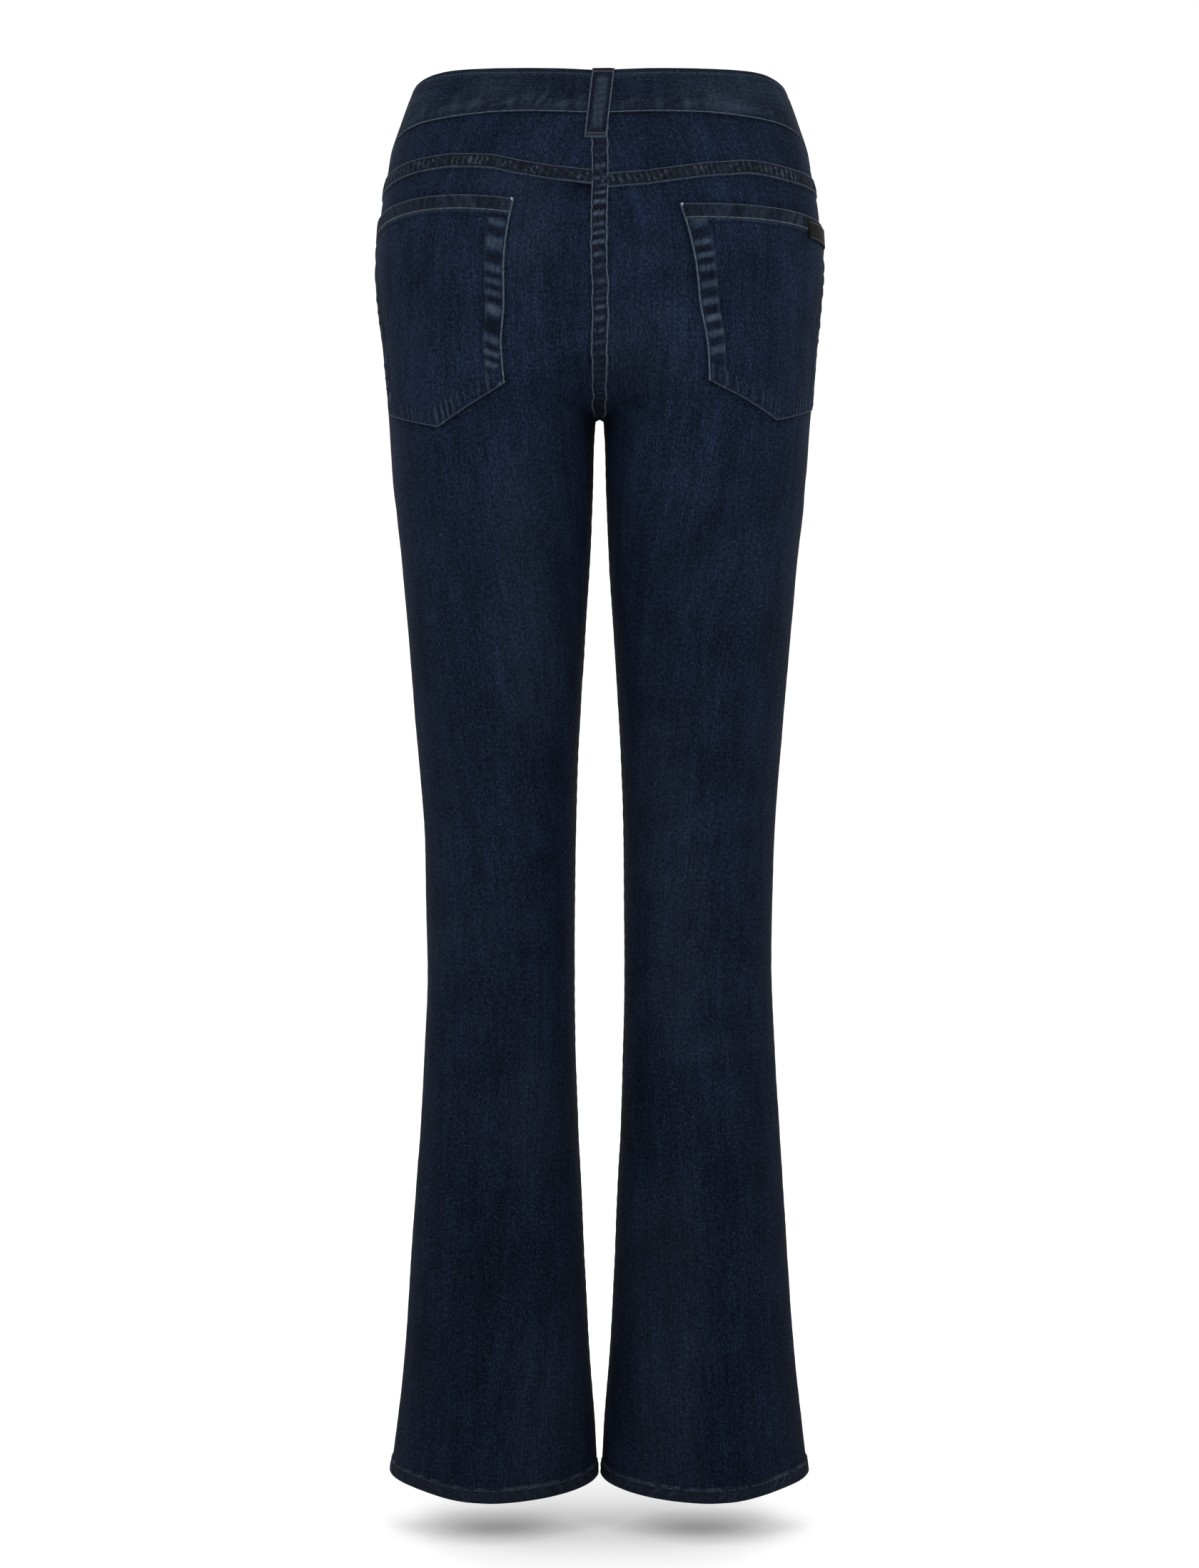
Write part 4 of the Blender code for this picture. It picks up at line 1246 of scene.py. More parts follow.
def over_centre(arc, height):
    """A strip's base that runs along the centre plane and reaches out square to it each way."""
    line, facing = form(arc, height)
    line[:, 0] = 0.0
    ahead = np.gradient(line, axis=0)
    ahead /= np.linalg.norm(ahead, axis=1, keepdims=True)
    reach = np.arange(0, STRIP_REACH, STRIP_REACH_STEP)
    places = [line]
    normals = [facing]
    now = line + np.array([1e-5, 0, 0])
    for k in range(len(reach) - 1):
        way = gradient(now)[1]
        normal = way / np.linalg.norm(way, axis=1, keepdims=True)
        step = np.cross(normal, ahead)
        step *= np.sign(step[:, :1]) / np.linalg.norm(step, axis=1, keepdims=True)
        now = now + step * STRIP_REACH_STEP
        # back onto the form after each step
        for _ in range(3):
            off, way = gradient(now)
            now = now - way * (off / (way**2).sum(1))[:, None]
        way = gradient(now)[1]
        places.append(now)
        normals.append(way / np.linalg.norm(way, axis=1, keepdims=True))
    places = np.array(places)
    normals = np.array(normals)
    blend = ease(0.0, 0.004, reach)[:, None, None]
    normals = normals * blend + facing[None] * (1 - blend)
    normals /= np.linalg.norm(normals, axis=2, keepdims=True)
    moved = drape(arc, height, line)

    def base(offsets):
        offsets = np.broadcast_to(offsets, (len(line), offsets.shape[1]))
        share = np.abs(offsets) / STRIP_REACH_STEP
        k = np.clip(share.astype(int), 0, len(reach) - 2)
        part = (share - k)[..., None]
        row = np.arange(len(line))[:, None]
        point = places[k, row] * (1 - part) + places[k + 1, row] * part
        normal = normals[k, row] * (1 - part) + normals[k + 1, row] * part
        point[..., 0] *= np.sign(offsets)
        normal[..., 0] *= np.sign(offsets)
        point += normal * moved[:, None, None]
        return point, normal, grain_places(offsets, height[:, None], "body")

    return base


def centre_back_strip():
    """Felled seam down the centre back and under to the crotch."""
    drops = np.arange(BACK_SEAM_TOP, SEAT_SEAM_END, FINE_STEP)
    arc, height, along = resampled(0 * drops, -drops, STRIP_STEP)

    def strength(u):
        over_seat = 0.75 * hill(u - 0.085, 0.022) + 0.35 * hill(u - 0.048, 0.014)
        return 0.55 + over_seat - 0.25 * ease(0.17, 0.24, u)

    strip("seam_centre_back", over_centre(arc, height), along, 0.0062, 0.0078, 61, rope=0.00065, proud=0.0014,
          glow=1.25, dark=0.60, held_on=["back_leg_left", "back_leg_right"], edges=(0.45, 1.0), rust=0.50,
          slant=0.15, strong=strength, sway=0.0011, thread=BRIGHT)


def centre_front_strips():
    """Fold of the fly down the centre front, and the felled seam below it."""
    drops = np.arange(FLY_TOP - 0.001, FLY_END + 0.004, 0.0004)
    _, height, along = resampled(way_round(-drops), -drops, STRIP_STEP)
    base = on_cloth(lambda o: way_round(height)[:, None] - o + 0.0018, lambda o: height[:, None] + 0 * o)
    strip("fly_fold", base, along, 0.0048, 0.0150, 65, rope=0.00020, proud=0.0013, glow=0.30, dark=0.20,
          held_on=["front_leg_left"], edges=(0.5, 0.3), rows=(True, False))
    drops = np.arange(FLY_END, SEAT_SEAM_END, FINE_STEP)
    arc, low, along_low = resampled(way_round(-drops), -drops, STRIP_STEP)
    strip("seam_centre_front", over_centre(arc, low), along_low, 0.0058, 0.0090, 67, rope=0.00035,
          proud=0.0011, glow=0.45, dark=0.30, held_on=["front_leg_left", "front_leg_right"])


def inseam(word, side):
    """Felled inner seam of one leg."""
    drops = np.arange(INSEAM_TOP, HEM_DROP - HEM_HEIGHT + 0.0005, 0.0008)
    _, height, along = resampled(0 * drops + 0.0001, -drops, 0.0025)
    total = way_round(height)[:, None]
    base = on_cloth(lambda o: side * np.where(o >= 0, o + 0.000001, total + o),
                    lambda o: height[:, None] + 0 * o, shifted=True)
    strip("inseam_" + word, base, along, 0.0052, 0.0110, 71 + side, rope=0.00014, proud=0.0006, glow=0.25,
          dark=0.25, held_on=["back_leg_" + word, "front_leg_" + word], edges=(0.3, 0.3), row_style={})


def yoke_strip(word, side):
    """Felled strip along the foot of one yoke."""
    share = np.linspace(0.004, 0.997, 400)
    half = YOKE_STRIP / 2
    height = -yoke_edge(share, side) + half
    arc, height, along = resampled(side * share * side_seam(height), height, 0.0013)
    tangent = np.stack([np.gradient(arc), np.gradient(height)], axis=1)
    tangent /= np.linalg.norm(tangent, axis=1, keepdims=True)

    def strength(u):
        return 0.85 + 0.25 * wander(u / 0.03, 83 + side)

    base = on_cloth(lambda o: arc[:, None] - side * tangent[:, 1:2] * o,
                    lambda o: height[:, None] + side * tangent[:, 0:1] * o)
    strip("yoke_seam_" + word, base, along, half, 0.0050, 81 + side, rope=0.00040, proud=0.0012, glow=1.05,
          dark=0.45, held_on=["yoke_" + word, "back_leg_" + word], edges=(0.9, 0.75), rust=0.80, slant=0.25,
          strong=strength, sway=0.0003)


centre_back_strip()
centre_front_strips()
for word, side in BOTH_SIDES:
    inseam(word, side)
    yoke_strip(word, side)


# Yokes, facings and waistband


def yoke(word, side):
    """Shaped yoke between the waistband and the back panel."""
    name = "yoke_" + word
    share, offset = spread(84, SEAM_EDGE)
    fine = [-0.07, -0.04, -0.02, -0.008, 0.004, 0.02, 0.045]
    down = np.concatenate([fine, np.linspace(0.08, 1.0, 36)])[:, None]
    width = side_seam(-YOKE_MEAN_DROP) - HALF_GAP
    run = ((share * width + offset) / width)[None, :]
    top = waist_edge(run * SIDE_SHARE, 2) - HALF_GAP
    foot = -yoke_edge(run, side)
    height = top + (foot - top) * down
    width = side_seam(height) - HALF_GAP
    arc = share * width + offset
    to_side = width - arc
    under_band = top - height
    lift = edge_fall(to_side) - 0.0018 * (1 - ease(-0.0016, 0.0006, under_band))
    lift = lift + 0.00030 * pucker(arc, 0.0110, 91 + side) * np.exp(-under_band / 0.006)
    to_strip = np.abs(height - foot - YOKE_STRIP)
    lift = lift + 0.00025 * pucker(arc, 0.0075, 93 + side) * np.exp(-to_strip / 0.004)
    wear = 0.10 * rubbed(form(side * arc, height)[0], 0.045, 95 + side, start=0.0)
    # painted shadow under the band, by the side seam and along the strip's upper edge
    shade = 0.04 + 0.62 * np.exp(-np.maximum(under_band, 0) / 0.0020) + 0.14 * hill(to_side, 0.010)
    shade = shade + 0.30 * np.exp(-to_strip / 0.0014)
    piece = cloth(name, side * arc, height, lift, -WALL, CLOTH, wear=wear, shade=shade, half=side)
    sewn(piece, "denim", [name], flat=(0.235, 0.060), held="stretched", area=0.0105,
         rests_on=["waistband"])


def facing(word, side):
    """Denim facing that closes the front pocket mouth."""
    name = "front_pocket_facing_" + word
    share, offset = front_columns()
    total = way_round(-FRONT_TOP_MEAN)
    wide = total - side_seam(-FRONT_TOP_MEAN) - HALF_GAP
    run = (share * wide + offset) / wide
    keep = run > MOUTH_START + 0.004
    share, offset, run = share[keep], offset[keep], run[keep][None, :]
    down = np.concatenate([[-0.050, -0.030, -0.014], np.linspace(0, 1, 34)])[:, None]
    top = waist_edge(1 - run * (1 - SIDE_SHARE), 2) - HALF_GAP
    foot = -mouth_drop(run) + HALF_GAP
    height = top + (foot - top) * down
    total = way_round(height)
    width = total - side_seam(height) - HALF_GAP
    place = share * width + offset
    arc = total - place
    to_mouth = height - foot
    # painted shade along the pocket's mouth and under the band; darker all over
    shade = 0.12 + 0.40 * hill(to_mouth, 0.0022) + 0.30 * hill(top - height, 0.0022)
    lift = -0.0005 + edge_fall(width - place) - 0.0014 * (1 - ease(-0.0016, 0.0006, top - height))
    piece = cloth(name, side * arc, height, lift, np.minimum(-0.0020, lift - 0.0006), CLOTH, shade=shade)
    sewn(piece, "denim", [name], flat=(0.090, 0.095), held="stretched", area=0.0060,
         rests_on=["front_leg_" + word])


def band_around(shares):
    """Share of the way to the centre front, also past it on the lap."""
    return np.where(np.abs(shares) <= 1, np.abs(shares), 2 - np.abs(shares))


def band_over(shares):
    """How far the band's left end rises to lap over its right one."""
    return (BAND_WALL + LAP_GAP) * ease(1 - LAP_SHARE - LAP_RAMP, 1 - LAP_SHARE, -shares)


def waistband():
    """One strip right round the waist, whose left end laps over the right one in front."""
    shares = np.linspace(-1 - LAP_SHARE, 1 + LAP_SHARE, 520)
    ends_fine = np.array([0.0003, 0.0007, 0.0012])
    shares = np.sort(np.concatenate([shares, -1 - LAP_SHARE + ends_fine, 1 + LAP_SHARE - ends_fine]))[None, :]
    top = waist_edge(band_around(shares), 1)
    foot = waist_edge(band_around(shares), 2) + HALF_GAP
    tall = top - foot
    share, offset = spread(22, (0.0, 0.0003, 0.0007, 0.0013, 0.0021))
    from_top = share[:, None] * tall + offset[:, None]
    height = top - from_top
    to_foot = tall - from_top
    arc = shares * way_round(height)
    along = shares * way_round(-0.02)
    over = band_over(shares)
    ends_off = (1 + LAP_SHARE - np.abs(shares)) * 0.38
    edge = np.minimum(np.minimum(from_top, to_foot), ends_off)
    fall = edge_fall(edge, 0.0010, 0.0020)
    ripple = pucker(along, 0.0098, 101, 0.7)
    lift = BAND_PROUD + over + fall
    lift = lift + 0.00032 * ripple * hill(to_foot - 0.0065, 0.0050)
    lift = lift + 0.00016 * pucker(along + 0.2, 0.0130, 103) * hill(from_top - 0.006, 0.005)
    lift = lift - 0.00028 * hill(to_foot - 0.0017, 0.0006) - 0.00016 * hill(from_top - 0.0040, 0.0006)
    under = BAND_PROUD + over - BAND_WALL - fall
    # rubbed in streaks and blots over the lower row, more evenly by the upper edge
    streaks = ease(-0.3, 0.9, wander(along / 0.009 + from_top / 0.004, 105)) * hill(to_foot - 0.0080, 0.0036)
    blots = wander(along / 0.0065 + 3 * from_top, 109) + 0.6 * wander(along / 0.0022 + from_top / 0.0035, 110)
    wear = 0.05 + 0.16 * streaks + 0.18 * ease(0.2, 1.0, ripple) * hill(to_foot - 0.0065, 0.0042)
    wear = wear + 0.26 * ease(0.0, 1.2, blots) * hill(to_foot - 0.0085, 0.0070)
    fine_blots = wander(along / 0.0035 + 2 * from_top, 113)
    wear = wear + 0.07 * ease(0.0, 1.0, fine_blots) * hill(from_top - 0.013, 0.012)
    wear = wear + 0.14 * hill(from_top - 0.0046, 0.0010)
    wear = wear + 0.10 * wander(along / 0.040, 107) * hill(from_top - 0.015, 0.008)
    # painted shade along the turned top edge, in the groove by the lower row and in the ripples' troughs; the
    # dark blots are uneven colour
    shade = 0.45 * hill(from_top, 0.0026) + 0.25 * hill(to_foot - 0.0022, 0.0007)
    shade = shade + 0.12 * ease(0.0, 1.0, -ripple)
    shade = shade + 0.45 * ease(0.0, 1.2, -blots) * hill(to_foot - 0.0080, 0.0075)
    piece = cloth("waistband_cloth", arc, height, lift, under, BAND_CLOTH, wear=wear, shade=shade, rust=0.12,
                  grain="turned")
    sewn(piece, "band_denim", ["waistband"], flat=(0.84, 0.038), held="folded", rests_on=["waist_button"])
    line = np.linspace(-1 - LAP_SHARE + 0.004, 1 + LAP_SHARE - 0.004, 900)
    low = waist_edge(band_around(line), 2) + HALF_GAP + 0.0010
    high = waist_edge(band_around(line), 1) - 0.0040
    runs = [surface(line * way_round(low), low, BAND_PROUD + band_over(line) - 0.0002)]
    upper = [surface(line * way_round(high), high, BAND_PROUD + band_over(line) - 0.0001)]
    stitched("waistband_stitches_foot", runs, BRIGHT, "band_denim", **ROPED)
    stitched("waistband_stitches_top", upper, THREADS, "band_denim", width=0.00045, tall=0.00024)


for word, side in BOTH_SIDES:
    yoke(word, side)
    facing(word, side)
waistband()


# Back pockets


def pocket_place(plan, share, down):
    """Signed arc and height at a share across and down the pocket."""
    top = bowed_point(plan["top"], share)
    foot = edge_point(plan["bottom"], share)
    place = top + (foot - top) * down[..., None]
    height = -place[..., 1]
    return plan["side"] * (flank(height) - place[..., 0]), height


def pocket_width(down):
    """Width of a back pocket at a share of the way down."""
    return POCKET_WIDE - POCKET_TAPER * down


def back_pocket(word, plan):
    """Patch pocket: hemmed mouth, turned edges whose allowance shows through, pointed foot."""
    name = "back_pocket_" + word
    side = plan["side"]
    fine = (0.0, 0.0003, 0.0007, 0.0012, 0.0020)
    share, offset = spread(91, fine)
    down_share, down_offset = spread(88, fine)
    down = np.clip(down_share + down_offset / POCKET_TALL, 0, 1)[:, None]
    wide = pocket_width(down)
    run = np.clip(share + offset / wide, 0, 1)
    down = np.broadcast_to(down, run.shape)
    arc, height = pocket_place(plan, run, down)
    top = bowed_point(plan["top"], run)
    foot = edge_point(plan["bottom"], run)
    length = foot[..., 1] - top[..., 1]
    to_top = down * length
    to_inner = run * wide
    to_outer = (1 - run) * wide
    (inner_x, inner_y), (point_x, point_y), (outer_x, outer_y) = plan["bottom"]
    slope = np.where(run < 0.5, (point_y - inner_y) / (inner_x - point_x),
                     (point_y - outer_y) / (point_x - outer_x))
    to_foot = (1 - down) * length / np.sqrt(1 + slope**2)
    to_sides = np.minimum(to_inner, to_outer)
    edge = np.minimum(np.minimum(to_sides, to_foot), to_top)
    turned = 0.0165 - 0.0025 * down
    # the turned edges' puckers, and where each edge's allowance lies under the pocket
    side_wave = pucker(to_top + 0.16 * to_sides, 0.0128, 111 + side, 0.55)
    foot_wave = pucker(to_inner * 1.12, 0.0060, 115 + side, 0.7)
    hem_wave = pucker(to_inner, 0.0068, 119 + side, 0.6)
    in_sides = ease(0.0012, 0.0035, to_sides) * (1 - ease(turned - 0.0012, turned + 0.0004, to_sides))
    in_foot = ease(0.0012, 0.0030, to_foot) * (1 - ease(0.0110, 0.0126, to_foot))
    in_hem = 1 - ease(POCKET_HEM - 0.0004, POCKET_HEM + 0.0006, to_top)
    in_sides = in_sides * (1 - in_hem) * (1 - in_foot)
    in_foot = in_foot * (1 - in_hem)
    face = POCKET_LIFT + POCKET_THICK
    on_turned = (1 - ease(turned - 0.0008, turned + 0.0008, to_sides)) * (1 - in_hem)
    lift = face + POCKET_TURN_RISE * on_turned
    lift = np.maximum(lift, face + POCKET_TURN_RISE * (1 - ease(0.0108, 0.0128, to_foot)))
    lift = np.maximum(lift, face + POCKET_HEM_RISE * in_hem)
    lift = lift + 0.00060 * side_wave * in_sides + 0.00040 * foot_wave * in_foot
    lift = lift + 0.00020 * hem_wave * in_hem * ease(0.0015, 0.0030, to_top)
    # stitching pulls the cloth down along every row
    sunk_edges = hill(to_sides - 0.0016, 0.0005) + hill(to_foot - 0.0016, 0.0005)
    lift = lift - 0.00025 * sunk_edges * (1 - in_hem) - 0.00020 * hill(to_top - 0.0015, 0.0005)
    lift = lift - 0.00030 * hill(to_top - POCKET_HEM + 0.0012, 0.0005)
    lift = lift + edge_fall(edge, 0.0013, 0.0013)
    # rubbed pale on the puckers' ridges and on the edges, brown and with painted shade in the troughs
    uneven = wander(to_top / 0.017 + run, 123 + side)
    low_sides = 1 - 0.45 * ease(0.55, 0.95, run)
    blotch = 0.85 + 0.35 * wander(to_top / 0.0075 + to_sides / 0.0050, 127 + side)
    wear = 0.92 * ease(-0.15, 0.80, side_wave) * in_sides * (0.75 + 0.35 * uneven) * low_sides * blotch
    mottled = ease(-0.5, 0.9, wander(to_inner / 0.0030 + to_top / 0.004, 131 + side))
    wear = wear + 0.50 * ease(0.1, 0.95, foot_wave) * in_foot
    wear = wear + in_hem * (0.14 * ease(-0.2, 1.0, hem_wave) + 0.26 * mottled) * blotch
    wear = wear + 0.80 * hill(to_sides - 0.0002, 0.0007) * low_sides + 0.42 * hill(to_foot - 0.0002, 0.0007)
    wear = wear + 0.46 * hill(to_top - 0.0002, 0.0007)
    wear = wear + 0.20 * hill(to_sides - turned + 0.0006, 0.0009) * (1 - in_hem) * (0.7 + 0.5 * uneven)
    wear = wear + 0.26 * hill(to_top - POCKET_HEM, 0.0009)
    shade = 0.03 + 0.40 * ease(0.0, 0.8, -side_wave) * in_sides
    shade = shade + 0.42 * ease(0.0, 0.9, -foot_wave) * in_foot
    # painted shadow beside the turned allowance, under the hem and in the groove by the edge stitches
    shade = shade + 0.30 * hill(to_sides - turned - 0.0014, 0.0012) * (1 - in_hem)
    shade = shade + 0.36 * hill(to_top - POCKET_HEM - 0.0022, 0.0012)
    shade = shade + 0.30 * hill(to_sides - 0.0026, 0.0008)
    rust = 0.60 * in_hem * ease(0.0010, 0.0022, to_top)
    rust = rust + 0.32 * ease(0.0, 0.8, -side_wave) * in_sides
    rust = rust + 0.25 * in_foot * ease(0.0, 0.8, -foot_wave)
    piece = cloth(name + "_cloth", arc, height, lift, POCKET_LIFT - 2 * HALF_GAP, CLOTH, wear=wear,
                  shade=shade, rust=rust)
    sewn(piece, "denim", [name], flat=(0.185, 0.175), held="stretched", area=0.0245,
         rests_on=["back_leg_" + word])

    def row(share, down, lift):
        return surface(*pocket_place(plan, share, down), lift)

    t = np.linspace(0, 1, 160)
    inset = 0.0008
    seat = POCKET_LIFT + POCKET_THICK + POCKET_TURN_RISE
    sunk = seat - 0.0004
    top_of_edge = 0.0015 / POCKET_TALL
    edge_down = top_of_edge + t * (1 - top_of_edge - inset * 1.2 / POCKET_TALL)
    inner = row(inset / pocket_width(t), edge_down, sunk)
    outer = row(1 - inset / pocket_width(t), edge_down, sunk)
    length_at = edge_point(plan["bottom"], t)[:, 1] - bowed_point(plan["top"], t)[:, 1]
    foot_run = row(0.007 + 0.986 * t, 1 - inset * 1.12 / length_at, sunk)
    mouth = row(0.008 + 0.984 * t, inset / length_at, seat - 0.0001)
    hem_line = row(0.008 + 0.984 * t, (POCKET_HEM - 0.0012) / length_at, seat + 0.00005)
    stitched(name + "_edge_stitches", [inner], BRIGHT, **{**ROPED, "width": 0.00076})
    stitched(name + "_foot_stitches", [foot_run, outer], THREADS, **ROPED)
    stitched(name + "_mouth_stitches", [mouth], THREADS, **ROPED)
    stitched(name + "_hem_stitches", [hem_line], BRIGHT, **ROPED)
    tacks = []
    for start in (0.010, 0.990):
        for k in range(4):
            across = np.full(6, start + np.sign(0.5 - start) * (k * 0.00045 - 0.0010) / POCKET_WIDE)
            low = np.linspace(-0.0004, 0.0034 - k * 0.0006, 6) / POCKET_TALL
            tacks.append(row(across, low, seat + 0.00025))
    stitched(name + "_corner_tacks", tacks, KNOTS, width=0.00060, tall=0.00045, pitch=0.0048, gap=0.0004)


for word in ("left", "right"):
    back_pocket(word, POCKETS[word])


# Tab, loops and button


def pocket_tab():
    """Plain folded tab over the mouth's outer corner of the right back pocket."""
    share, offset = spread(56, (0.0, 0.0003, 0.0008))
    down, down_offset = spread(14, (0.0, 0.0003, 0.0008))
    behind = TAB_SPAN[0] + (TAB_SPAN[1] - TAB_SPAN[0]) * share - offset
    tall = TAB_DROPS[1] - TAB_DROPS[0]
    drop = (TAB_DROPS[0] + tall * down + down_offset)[:, None]
    arc = flank(-drop) - behind[None, :]
    edge = np.minimum(np.minimum(drop - TAB_DROPS[0], TAB_DROPS[1] - drop),
                      np.minimum(TAB_SPAN[0] - behind, behind - TAB_SPAN[1])[None, :])
    base = POCKET_LIFT + POCKET_THICK + POCKET_HEM_RISE + TAB_THICK
    lift = base + edge_fall(edge, 0.0006, 0.0010) - 0.00018 * hill(edge - 0.0012, 0.0005)
    piece = cloth("pocket_tab_tape", arc, -drop, lift, base - TAB_THICK, [TAPE, TAPE], grain="body")
    sewn(piece, "tab", ["pocket_tab"], flat=(0.054, 0.0148), held="folded",
         rests_on=["back_pocket_right_cloth"])
    line = np.linspace(TAB_SPAN[0] - 0.001, TAB_SPAN[1] + 0.001, 60)
    runs = []
    for at in (TAB_DROPS[0] + 0.0012, TAB_DROPS[1] - 0.0012):
        runs.append(surface(flank(-at) - line, np.full(60, -at), base - 0.00005))
    dark = thread_material("thread_dark", THREAD_TAB)
    stitched("pocket_tab_stitches", runs, dark, "tab", width=0.00045, tall=0.00026, pitch=0.0020)


def belt_loop(name, share, lean, width, foot_drop, bow):
    """Strap over the band: folded edges, stitched along both sides, bar-tacked at both ends."""
    foot_rise = LOOP_SEAM_RISE if share == 0.0 else 0.0

    def middle_at(run, height):
        """Arc of the strap's middle line, which leans over as it runs down."""
        return share * way_round(height) + lean * 2 * (run - 0.5)

    def seat_at(run):
        """How far the strap's inner side stands off the form, over the band and the seam below."""
        proud = LOOP_FACE + BAND_PROUD - BAND_PROUD * ease(0.7, 1.0, run) + foot_rise * ease(0.62, 0.85, run)
        return proud + bow * np.sin(math.pi * np.clip(run, 0, 1)) ** 0.7

    top = float(waist_edge(abs(share), 1)) + 0.0008
    grow, offset = spread(44, (0.0, 0.0003, 0.0007, 0.0013))
    length = top + foot_drop
    down = (grow * length + offset)[:, None]
    run = down / length
    height = top - down
    side_share, side_offset = spread(17, (0.0, 0.0003, 0.0007, 0.0013))
    across = (side_share * width + side_offset - width / 2)[None, :]
    arc = middle_at(run, height) + across
    seat = seat_at(run)
    edge = width / 2 - np.abs(across)
    end = np.minimum(down, length - down)
    wave = pucker(down + 0.2 * across, 0.0062, 131 + int(round((share + 1) * 10)), 0.8)
    lift = seat + LOOP_THICK + edge_fall(np.minimum(edge, end), 0.0009, 0.0014)
    lift = lift + 0.00022 * wave * ease(0.002, 0.004, edge) - 0.00022 * hill(edge - 0.0016, 0.0005)
    lift = lift - 0.00045 * (hill(down - 0.0030, 0.0012) + hill(length - down - 0.0030, 0.0012))
    wear = 0.42 * ease(0.0028, 0.0055, edge) * (0.8 + 0.3 * wave) * ease(0.004, 0.010, end)
    wear = wear + 0.62 * hill(edge - 0.0002, 0.0006) + 1.5 * hill(length - down - 0.0001, 0.0008)
    # painted shade in the grooves by the side rows and at the strap's top end
    shade = 0.06 + 0.50 * hill(edge - 0.0020, 0.0008) + 0.4 * hill(down, 0.0015)
    piece = cloth(name + "_strap", arc, height, lift, seat, BAND_CLOTH, wear=wear, shade=shade, rust=0.4,
                  grain="body")
    sewn(piece, "band_denim", [name], flat=(2.4 * width, length), held="stretched",
         area=1.1 * width * length, rests_on=["waistband_cloth"])
    t = np.linspace(0.0012, length - 0.0012, 60)
    run = t / length
    height = top - t
    seat = seat_at(run) + LOOP_THICK
    middle = middle_at(run, height)
    runs = [surface(middle + edge * (width / 2 - 0.0006), height, seat - 0.00035) for edge in (-1, 1)]
    stitched(name + "_stitches", runs, BRIGHT, "band_denim", pitch=0.0014, gap=-0.0004, twist=0.55,
             width=0.00056)
    tacks = []
    reach = np.array([-1.0, -0.4, 0.4, 1.0])
    for at in (0.0030, length - 0.0030):
        place = at + 0.0009 * reach
        level = np.interp(place, t, seat) - 0.00030
        centre = middle_at(place / length, top - place)
        for k in range(LOOP_TACKS):
            over = (k / (LOOP_TACKS - 1) - 0.5) * (width - 0.0016)
            slant = over + 0.0003 * reach * (1 if k % 2 else -1)
            tacks.append(surface(centre + slant, top - place, level))
    stitched(name + "_tacks", tacks, TACKS, "band_denim", width=0.00062, tall=0.00040, pitch=0.0019,
             gap=0.0001)


BUTTON_PLACE = 0.0100
BUTTON_PROFILE = (
    # radius, height over the band
    (0.0, 0.0050),
    (0.0020, 0.0050),
    (0.0032, 0.0048),
    (0.0038, 0.0044),
    (0.0046, 0.0043),
    (0.0058, 0.0044),
    (0.0064, 0.0048),
    (0.0074, 0.0047),
    (0.0081, 0.0042),
    (0.0085, 0.0034),
    (0.0085, 0.0029),
    (0.0080, 0.0023),
    (0.0045, 0.0020),
    (0.0038, 0.0017),
    (0.0038, 0.0003),
    (0.0, 0.0003),
)


def waist_button():
    """Round shank button, turned from its profile, with a sunk ring round its crown."""
    steps = 64
    radius = np.array([row[0] for row in BUTTON_PROFILE])[1:-1]
    level = np.array([row[1] for row in BUTTON_PROFILE])
    turn = np.arange(steps) / steps * 2 * math.pi
    rings = np.stack([
        radius[:, None] * np.cos(turn),
        radius[:, None] * np.sin(turn),
        np.repeat(level[1:-1, None], steps, 1),
    ], axis=-1).reshape(-1, 3)
    points = np.concatenate([rings, [[0, 0, level[0]], [0, 0, level[-1]]]])
    faces = []
    for i in range(len(radius) - 1):
        for j in range(steps):
            k = (j + 1) % steps
            faces.append((i * steps + j, (i + 1) * steps + j, (i + 1) * steps + k, i * steps + k))
    last = (len(radius) - 1) * steps
    for j in range(steps):
        k = (j + 1) % steps
        faces.append((len(rings), j, k))
        faces.append((len(rings) + 1, last + k, last + j))
    middle = float(waist_edge(1.0, 1) + waist_edge(1.0, 2)) / 2
    place, normal = form(way_round(middle) - BUTTON_PLACE, middle)
    seat = place + normal * (BAND_PROUD + BAND_WALL + LAP_GAP)
    side = np.cross((0.0, 0.0, 1.0), normal)
    side /= np.linalg.norm(side)
    points = seat + points @ np.stack([side, np.cross(normal, side), normal])
    plain = np.zeros((len(points), 3))
    piece = piece_mesh("waist_button_turned", points, faces, points[:, :2], plain, [BRASS])
    sewn(piece, "button", ["waist_button"])


for loop in BELT_LOOPS:
    belt_loop(*loop)
pocket_tab()
waist_button()


# Stitching on the front


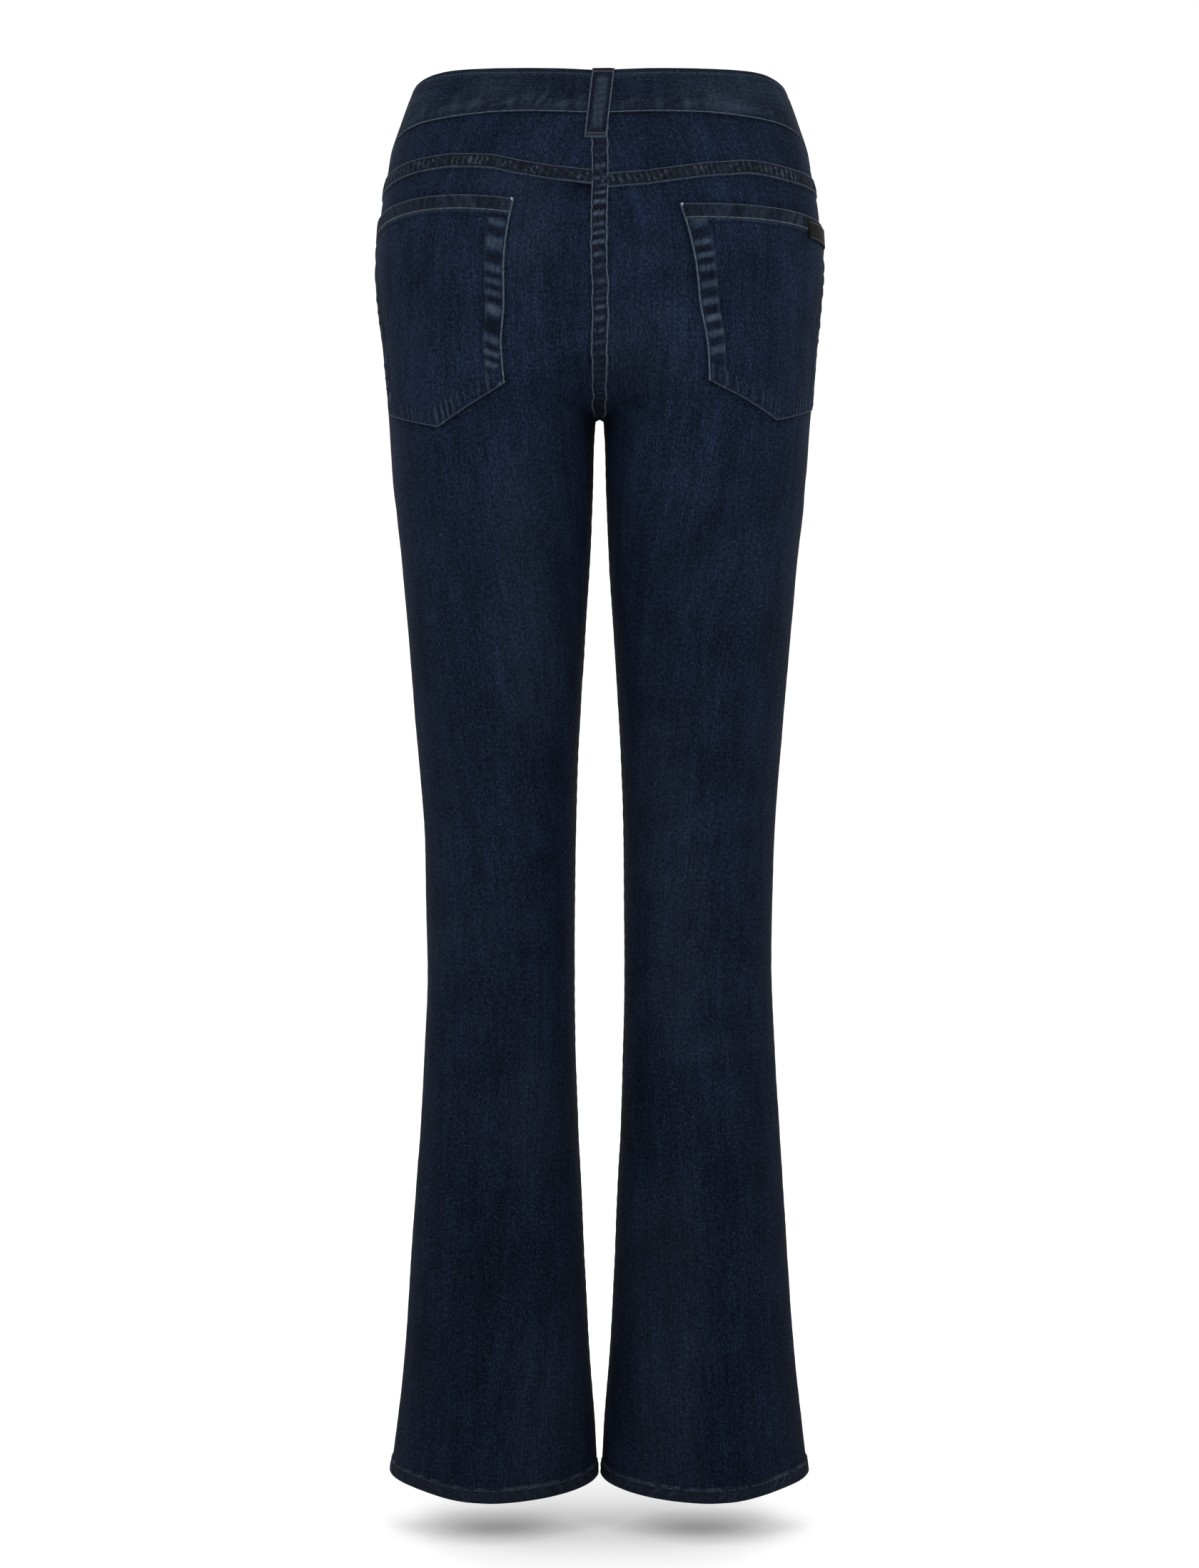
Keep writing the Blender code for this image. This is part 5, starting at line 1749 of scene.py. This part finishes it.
def front_stitches():
    """Twin rows round the pocket mouths and the fly."""
    for word, side in BOTH_SIDES:
        share = np.linspace(MOUTH_START + 0.012, 0.985, 200)
        runs = []
        for inset in (0.0020, 0.0078):
            drop = mouth_drop(share)
            total = way_round(-drop)
            width = total - side_seam(-drop)
            tangent = np.stack([np.gradient(share * width), np.gradient(drop)], axis=1)
            tangent /= np.linalg.norm(tangent, axis=1, keepdims=True)
            place = share * width - tangent[:, 1] * inset
            low = drop + tangent[:, 0] * inset
            keep = place < way_round(-low) - side_seam(-low) - 0.001
            arc = way_round(-low) - place
            runs.append(surface((side * arc)[keep], -low[keep], 0.0004))
        stitched("mouth_stitches_" + word, runs, THREADS)
    runs = []
    for inset in (0.0, 0.0060):
        t = np.linspace(0.0, 1.0, 200)
        drop = FLY_TOP + (FLY_END - inset - FLY_TOP) * (1 - (1 - t) ** 1.6)
        stretch = (FLY_END - FLY_BEND) / (FLY_END - inset - FLY_BEND)
        reach = fly_reach(FLY_BEND + (drop - FLY_BEND) * np.where(drop > FLY_BEND, stretch, 1.0)) - inset
        keep = reach > 0.004
        runs.append(surface(-(way_round(-drop) - reach)[keep], -drop[keep], 0.0005))
    stitched("fly_stitches", runs, THREADS)


front_stitches()


# Stage


FLOOR_LEVEL = -1.100
FLOOR_REACH = 40.0
FLOOR_CORNERS = 64
FLOOR_COLOUR = (0.92, 0.92, 0.92, 1.0)
LAMPS = (
    # bearing from behind in degrees, power
    (-30, 20.5),
    (30, 21.5),
    (150, 13.0),
    (-150, 13.0),
)
LAMP_SIZE = 1.3
LAMP_DISTANCE = 2.7
LAMP_HEIGHT = 0.85
LAMP_AIM = (0.0, 0.0, -0.50)
SKY_STRENGTH = 1.12
CAMERA_PLACE = (0.0, -2.4, -0.529)
CAMERA_LENS = 71.5


def stage():
    """Pale floor, soft light from all round, and the camera at the photograph's height."""
    mesh = bpy.data.meshes.new("floor")
    turn = [2 * math.pi * k / FLOOR_CORNERS for k in range(FLOOR_CORNERS)]
    corners = [(FLOOR_REACH * math.cos(a), FLOOR_REACH * math.sin(a), FLOOR_LEVEL) for a in turn]
    mesh.from_pydata(corners, [], [tuple(range(FLOOR_CORNERS))])
    floor = bpy.data.objects.new("floor", mesh)
    bpy.context.scene.collection.objects.link(floor)
    pale = bpy.data.materials.new("pale_floor")
    pale.use_nodes = True
    shader = pale.node_tree.nodes["Principled BSDF"]
    shader.inputs["Base Color"].default_value = FLOOR_COLOUR
    shader.inputs["Roughness"].default_value = 0.9
    shader.inputs["Specular IOR Level"].default_value = 0.0
    mesh.materials.append(pale)
    for bearing, power in LAMPS:
        light = bpy.data.lights.new("soft_light", "AREA")
        light.shape = "DISK"
        light.size = LAMP_SIZE
        light.energy = power
        lamp = bpy.data.objects.new("soft_light", light)
        a = math.radians(bearing)
        lamp.location = (LAMP_DISTANCE * math.sin(a), -LAMP_DISTANCE * math.cos(a), LAMP_HEIGHT)
        lamp.rotation_mode = "QUATERNION"
        lamp.rotation_quaternion = (Vector(LAMP_AIM) - lamp.location).to_track_quat("-Z", "Y")
        bpy.context.scene.collection.objects.link(lamp)
    world = bpy.data.worlds.new("plain_white")
    world.use_nodes = True
    sky = world.node_tree.nodes["Background"]
    sky.inputs["Color"].default_value = (1.0, 1.0, 1.0, 1.0)
    sky.inputs["Strength"].default_value = SKY_STRENGTH
    bpy.context.scene.world = world
    bpy.context.scene.view_settings.view_transform = "Standard"
    view = bpy.data.cameras.new("camera")
    view.sensor_fit = "AUTO"
    view.sensor_width = 36.0
    view.lens = CAMERA_LENS
    camera = bpy.data.objects.new("camera", view)
    camera.location = CAMERA_PLACE
    camera.rotation_euler = (math.pi / 2, 0.0, 0.0)
    bpy.context.scene.collection.objects.link(camera)
    bpy.context.scene.camera = camera


stage()
